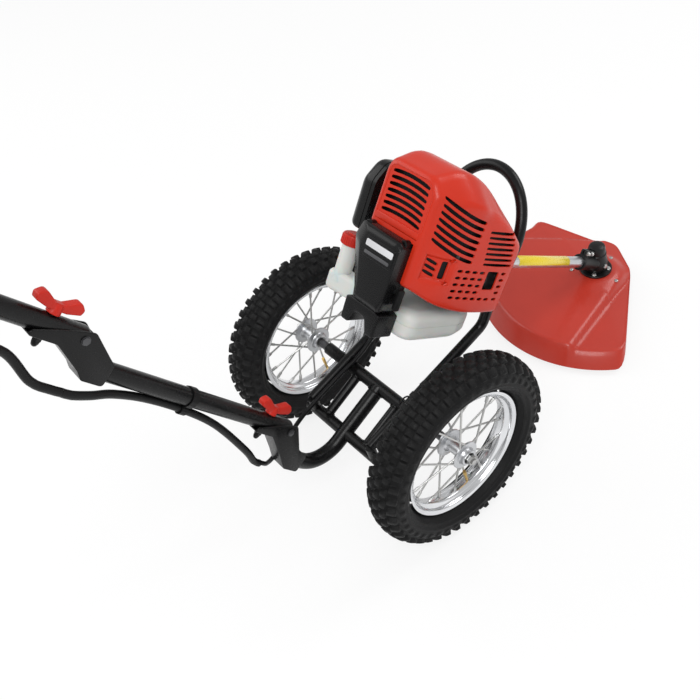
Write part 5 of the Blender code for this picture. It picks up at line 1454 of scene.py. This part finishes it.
class CUTTER_OT_filter(bpy.types.Operator):
    """Model the domed air filter cover, with its knob"""

    bl_idname = "cutter.filter"
    bl_label = "Air filter"

    def execute(self, context):
        corners = (
            (-0.0905, 0.0200, 0.008, 0), (-0.0300, 0.0250, 0.006, 0), (0.0250, 0.0300, 0.010, 0),
            (0.0250, 0.1220, 0.026, 0), (-0.0100, 0.1560, 0.030, 0), (-0.0700, 0.1560, 0.028, 0),
            (-0.0930, 0.1200, 0.030, 0),
        )
        stations = [(-0.0903, 0.0), (-0.0980, 0.0), (-0.0985, 0.0010), (-0.1000, 0.0010), (-0.1005, 0.0)]
        stations += shoulder(-0.0903, -0.1350, 0.0240, 9)
        cover = domed("filter_dome", corners, stations, "X")
        knob = turned(
            "filter_knob", ((0.0, 0.0120), (0.0030, 0.0120), (0.0045, 0.0110), (0.0050, 0.0070)), 32
        )
        place(knob, Matrix.Translation((-0.1300, -0.0330, 0.0880)) @ Matrix.Rotation(-math.pi / 2, 4, "Y"))
        smooth(knob, 35.0)
        made = joined([cover, knob], "filter_dome")
        place(made, LINE)
        wear(made, "gloss")
        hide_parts("air_filter_cover")
        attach(made, "chassis")
        return {"FINISHED"}


class CUTTER_OT_tank(bpy.types.Operator):
    """Model the moulded tank with its seam and filler arm, the ribbed cap and the black foot"""

    bl_idname = "cutter.tank"
    bl_label = "Fuel tank"

    FILLER = (-0.1160, -0.0760)
    ARM = -0.0950          # middle height of the filler arm

    def execute(self, context):
        corners = ((-0.0950, -0.0860, 0.030, 3), (0.0920, -0.0860, 0.030, 3), (0.0900, 0.0560, 0.045, 3),
                   (0.0720, 0.1060, 0.028, 3), (-0.0760, 0.1060, 0.028, 3), (-0.0900, 0.0560, 0.045, 3))
        low, seam, high = -0.1230, -0.0900, -0.0620
        stations = shoulder(seam, low, 0.0200, 7)[::-1]
        stations += [(seam - 0.0010, 0.0), (seam - 0.0006, -0.0012), (seam + 0.0006, -0.0012),
                     (seam + 0.0010, 0.0)]
        stations += shoulder(seam, high, 0.0180, 7)
        body = domed("tank_body", corners, stations, "Z")
        x, u = self.FILLER
        arm_corners = ((x - 0.0220, u - 0.0220, 0.014, 0), (-0.0500, u - 0.0080, 0.010, 0),
                       (-0.0500, u + 0.0280, 0.010, 0), (x - 0.0220, u + 0.0280, 0.014, 0))
        arm_stations = shoulder(self.ARM, low + 0.0080, 0.0100)[::-1]
        arm_stations += shoulder(self.ARM, high - 0.0100, 0.0100)
        arm = domed("arm", arm_corners, arm_stations, "Z")
        profile = ((-0.0930, 0.0205), (-0.0780, 0.0180), (-0.0700, 0.0170), (-0.0180, 0.0170))
        neck = turned("neck", profile, 40)
        place(neck, Matrix.Translation((x, u, 0)))
        smooth(neck, 35.0)
        made = joined([body, arm, neck], "moulded_tank")
        place(made, LINE)
        wear(made, "tank")
        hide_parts("fuel_tank")
        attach(made, "chassis")
        self.cap()
        self.foot()
        return {"FINISHED"}

    def cap(self):
        """The red cap with a ribbed rim and a raised middle."""
        radius, height = 0.0222, 0.0240
        profile = ((0.0, radius * 0.95), (0.0012, radius), (height * 0.72, radius),
                   (height * 0.84, radius * 0.95), (height * 0.90, radius * 0.84),
                   (height * 0.90, radius * 0.62), (height, radius * 0.58), (height, radius * 0.3))
        skirt = turned("skirt", profile, 56)
        ribs = []
        for i in range(28):
            rib = rod("rib", (radius, 0, 0.0014), (radius, 0, height * 0.74), 0.0007, 8)
            place(rib, Matrix.Rotation(math.tau * i / 28, 4, "Z"))
            ribs.append(rib)
        made = joined([skirt, *ribs], "ribbed_cap")
        smooth(made, 35.0)
        place(made, LINE @ Matrix.Translation((*self.FILLER, -0.0177)))
        wear(made, "knob")
        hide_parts("fuel_cap")
        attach(made, body_of("fuel_cap"))

    def foot(self):
        """The black stand under the starter, with rounded edges."""
        half, high, low = 0.0580, -0.0763, -0.1250
        corners = (
            (-0.0320, high - 0.0040, 0.004), (-0.0300, low, 0.006), (-0.0110, low, 0.006),
            (-0.0010, high - 0.0220, 0.010), (half - 0.0330, high - 0.0220, 0.010),
            (half - 0.0200, low, 0.006), (half, low, 0.006), (half, high - 0.0040, 0.004),
            (half - 0.0120, high, 0.006), (-0.0220, high, 0.006),
        )
        outline = rounded_outline([(a, b, r, 0) for a, b, r in corners])
        made = prism("moulded_foot", outline, "Y", -0.1380, -0.0863)
        rounded(made, 0.0040, 4)
        place(made, LINE)
        wear(made, "gloss")
        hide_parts("engine_foot")
        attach(made, "chassis")


# ---- Handle --------------------------------------------------------------------------------
class CUTTER_OT_brackets(bpy.types.Operator):
    """Model the folded channel brackets of the handle, with their nuts and fold pins"""

    bl_idname = "cutter.brackets"
    bl_label = "Brackets"

    INSIDE = 0.0163
    WALL = 0.0030
    LENGTH = 0.0850
    FOLD = math.radians(120.0)
    # Outline down from the fold pin, along the slope and across it
    UPPER_EDGE = ((0.0560, -0.0140), (0.0700, -0.0225), (0.0700, -0.0600), (0.0300, -0.0600),
                  (0.0160, -0.0480))
    LOWER_EDGE = ((0.0540, -0.0290), (0.0840, -0.0375), (0.0840, -0.0745), (0.0440, -0.0745),
                  (0.0180, -0.0550))

    def execute(self, context):
        self.bracket(UPPER, self.UPPER_EDGE, -0.0410, 0.0385, "stem_bracket", "lower_handle")
        self.bracket(LOWER, self.LOWER_EDGE, -0.0560, 0.0770, "frame_bracket", "chassis")
        for word, frame_at, body in (("frame", LOWER, "chassis"), ("stem", UPPER, "lower_handle")):
            self.pin(word, frame_at, body)
        return {"FINISHED"}

    def bracket(self, frame_at, edge, seat_z, seat_y, name, body):
        """One bracket: side plates, floor and the socket for the tube that carries it."""
        half, floor = self.INSIDE + self.WALL, -self.INSIDE - self.WALL
        corners = [
            (-self.LENGTH, floor, 0.004), (-self.LENGTH, floor + 0.0095, 0.005), (-0.0450, 0.0030, 0.012),
            (-0.0080, 0.0120, 0.014), (0.0120, 0.0150, 0.010),
        ]
        corners += [(y, z, 0.007) for y, z in edge] + [(-0.0360, floor, 0.014)]
        outline = rounded_outline([(y, z, radius, 0) for y, z, radius in corners], 4)
        made = prism(f"{name}_plate", outline, "X", -half, half)
        rounded(made, 0.0016, 3)
        inside, length = self.INSIDE, self.LENGTH
        sides = [(-length - 0.01, -inside), (0, -inside), (0, 0.05), (-length - 0.01, 0.05)]
        channel = prism("channel", sides, "X", -inside, inside)
        knuckle = rod("knuckle", (-inside, 0, 0), (inside, 0, 0), inside, 48)
        folded = prism("folded", [(-length, -inside), (0, -inside), (0, inside), (-length, inside)],
                       "X", -inside, inside)
        place(folded, Matrix.Rotation(-self.FOLD, 4, "X"))
        seat = rod("seat", (0, seat_y, seat_z), (0, seat_y + 0.10, seat_z), inside, 48)
        hole = rod("hole", (-0.04, 0, 0), (0.04, 0, 0), 0.0040, 24)
        for cutter in (channel, knuckle, folded, seat, hole):
            carve(made, [cutter])
        smooth(made, 35.0)
        nut = bolt((0, -CUTTER_OT_knobs.OUT, floor), (0, 0, -1), 0.0072, 0.0095)
        dome = turned("dome", ((0.0090, 0.0060), (0.0120, 0.0058), (0.0165, 0.0042), (0.0182, 0.0022)), 24)
        place(dome, Matrix.Translation((0, -CUTTER_OT_knobs.OUT, floor)) @ Matrix.Rotation(math.pi, 4, "X"))
        smooth(dome, 50.0)
        made = joined([made, nut, dome], f"{name}_plate")
        place(made, frame_at)
        wear(made, "paint")
        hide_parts(name)
        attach(made, body)

    def pin(self, word, frame_at, body):
        """A fold pin with a domed head at one end and a nut at the other."""
        seat = self.INSIDE + self.WALL + 0.0003
        shaft = turned(
            "shaft",
            ((-seat - 0.0034, 0.0040), (-seat - 0.0028, 0.0064), (-seat - 0.0010, 0.0075), (-seat, 0.0075),
             (-seat + 0.0001, 0.0039), (seat, 0.0039), (seat + 0.0001, 0.0072), (seat + 0.0010, 0.0074)), 24,
        )
        nut = turned("nut", ((seat + 0.0002, 0.0068), (seat + 0.0030, 0.0068), (seat + 0.0034, 0.0056)), 6)
        made = joined([shaft, nut], f"{word}_pin_bolt")
        place(made, frame_at @ ON_AXLE)
        smooth(made, 35.0)
        wear(made, "dark_steel")
        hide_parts(f"{word}_pin")
        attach(made, body)


def route(points, step=0.008):
    """A smooth curve's points through a route's own points."""
    found = []
    last = len(points) - 1
    for i in range(last):
        p0, p1 = Vector(points[max(i - 1, 0)]), Vector(points[i])
        p2, p3 = Vector(points[i + 1]), Vector(points[min(i + 2, last)])
        steps = max(1, round((p2 - p1).length / step))
        for k in range(steps):
            t = k / steps
            line = (p2 - p0) * t + 2 * p1
            bow = (2 * p0 - 5 * p1 + 4 * p2 - p3) * t ** 2 + (3 * p1 - p0 - 3 * p2 + p3) * t ** 3
            found.append((line + bow) / 2)
    found.append(Vector(points[-1]))
    return found


class CUTTER_OT_cables(bpy.types.Operator):
    """Lay the control conduit along both stems and the wire down to the engine"""

    bl_idname = "cutter.cables"
    bl_label = "Cables"

    UPPER_ROUTE = (
        (0.180, -0.448, -0.065), (0.150, -0.415, -0.075), (0.095, -0.320, -0.070), (0.055, -0.210, -0.055),
        (0.030, -0.118, -0.046), (0.030, -0.054, -0.076), (0.030, -0.020, -0.080), (0.030, 0.000, -0.080),
    )
    LOWER_ROUTE = (
        (0.030, -0.5094, -0.0390), (0.030, -0.490, -0.0390), (0.024, -0.455, -0.0340),
        (0.012, -0.410, -0.0270), (0.000, -0.3400, -0.0236), (0.000, -0.2564, -0.0236),
        (0.000, -0.166, -0.0340), (0.000, -0.061, -0.0650), (-0.004, -0.018, -0.083),
        (-0.004, 0.000, -0.085),
    )
    FRAME_ROUTE = (
        (-0.0040, -0.2911, 0.0265), (-0.0050, -0.2830, 0.0140), (-0.018, -0.2720, -0.0060),
        (-0.034, -0.2500, -0.0230), (-0.052, -0.2000, -0.0230), (-0.070, -0.1400, -0.0150),
        (-0.0735, -0.0500, 0.0120), (-0.0735, 0.0200, 0.0330), (-0.080, 0.0750, 0.0620),
        (-0.098, 0.0950, 0.0800), (-0.1040, 0.1130, 0.1400), (-0.098, 0.1380, 0.1880),
        (-0.0845, 0.1466, 0.2420),
    )

    def execute(self, context):
        for name, node, points, frame_at, radius, body in (
            ("conduit_upper", "cable_upper", self.UPPER_ROUTE, UPPER, 0.0070, "upper_handle"),
            ("conduit_lower", "cable_lower", self.LOWER_ROUTE, LOWER, 0.0070, "lower_handle"),
            ("throttle_wire", "cable_frame", self.FRAME_ROUTE, MACHINE, 0.0045, "chassis"),
        ):
            path = [frame_at @ point for point in route(points)]
            cord = line_of(name, path, radius)
            wear(cord, "sleeve")
            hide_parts(node)
            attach(cord, body)
        return {"FINISHED"}


class CUTTER_OT_controls(bpy.types.Operator):
    """Model the bent handlebar and its ribbed grips"""

    bl_idname = "cutter.controls"
    bl_label = "Controls"

    BAR = 0.0110
    GRIP = 0.0165
    LENGTH = 0.1150
    CORNERS = ((0.070, 0.000, 0.000), (0.170, -0.060, 0.000), (0.290, -0.130, -0.130))

    def execute(self, context):
        middle = Vector((0, -0.3600 - self.BAR, 0))
        right = [middle] + [middle + Vector(corner) for corner in self.CORNERS]
        left = [Vector((-p.x, p.y, p.z)) for p in right]
        whole = [tuple(p) for p in reversed(left[1:])] + [tuple(p) for p in right[1:]]
        bar = pipe("bent_handlebar", bent(whole, 0.0450, 10), self.BAR, 6)
        place(bar, UPPER)
        wear(bar, "paint")
        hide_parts("handlebar")
        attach(bar, "upper_handle")
        grip = self.grip()
        for side, word in ((1, "right"), (-1, "left")):
            start, end = Vector(right[-2]), Vector(right[-1])
            start.x, end.x = start.x * side, end.x * side
            way = (end - start).normalized()
            at = facing(end - way * self.LENGTH, way)
            made = copy_of(grip, UPPER @ at)
            made.name = made.data.name = f"ribbed_grip_{word}"
            wear(made, "soft")
            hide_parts(f"grip_{word}")
            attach(made, "upper_handle")
        bpy.data.objects.remove(grip)
        return {"FINISHED"}

    def grip(self):
        """One rubber grip with rings of ribs, a flange and a closed end."""
        profile = [(0.0, self.BAR + 0.0004), (0.0, self.GRIP + 0.0036), (0.0010, self.GRIP + 0.0040),
                   (0.0042, self.GRIP + 0.0040), (0.0054, self.GRIP + 0.0030), (0.0060, self.GRIP)]
        for i in range(22):
            z = 0.0085 + i * 0.0046
            profile += [(z, self.GRIP), (z + 0.0006, self.GRIP - 0.0010), (z + 0.0016, self.GRIP - 0.0010),
                        (z + 0.0022, self.GRIP)]
        profile += [(0.1130, self.GRIP), (0.1160, self.GRIP * 0.97), (0.1180, self.GRIP * 0.85),
                    (0.1183, self.GRIP * 0.70)]
        made = turned("grip_pattern", profile, 40)
        smooth(made, 30.0)
        return made


STEPS = (
    CUTTER_OT_stage, CUTTER_OT_finishes, CUTTER_OT_tyres, CUTTER_OT_wheels,
    CUTTER_OT_cover, CUTTER_OT_starter, CUTTER_OT_filter, CUTTER_OT_tank,
    CUTTER_OT_frame, CUTTER_OT_stems, CUTTER_OT_knobs, CUTTER_OT_brackets,
    CUTTER_OT_guard, CUTTER_OT_gear_head, CUTTER_OT_controls, CUTTER_OT_cables,
)


class CUTTER_PT_panel(bpy.types.Panel):
    """Lists the pieces, their colours and their sizes"""

    bl_idname = "CUTTER_PT_panel"
    bl_label = "Brush Cutter"
    bl_space_type = "VIEW_3D"
    bl_region_type = "UI"
    bl_category = "Brush Cutter"

    def draw(self, context):
        for group in (context.scene.cutter_colours, context.scene.cutter_sizes):
            for key in group.__annotations__:
                self.layout.prop(group, key)
        for step in STEPS:
            self.layout.operator(step.bl_idname)


CLASSES = (CutterColours, CutterSizes, *STEPS, CUTTER_PT_panel)


def register():
    for item in CLASSES:
        bpy.utils.register_class(item)
    bpy.types.Scene.cutter_colours = bpy.props.PointerProperty(type=CutterColours)
    bpy.types.Scene.cutter_sizes = bpy.props.PointerProperty(type=CutterSizes)


def unregister():
    del bpy.types.Scene.cutter_sizes
    del bpy.types.Scene.cutter_colours
    for item in reversed(CLASSES):
        bpy.utils.unregister_class(item)


def main():
    """Make every piece, in order."""
    register()
    for step in STEPS:
        group, name = step.bl_idname.split(".")
        clear_selection()
        getattr(getattr(bpy.ops, group), name)()


if __name__ == "__main__":
    main()
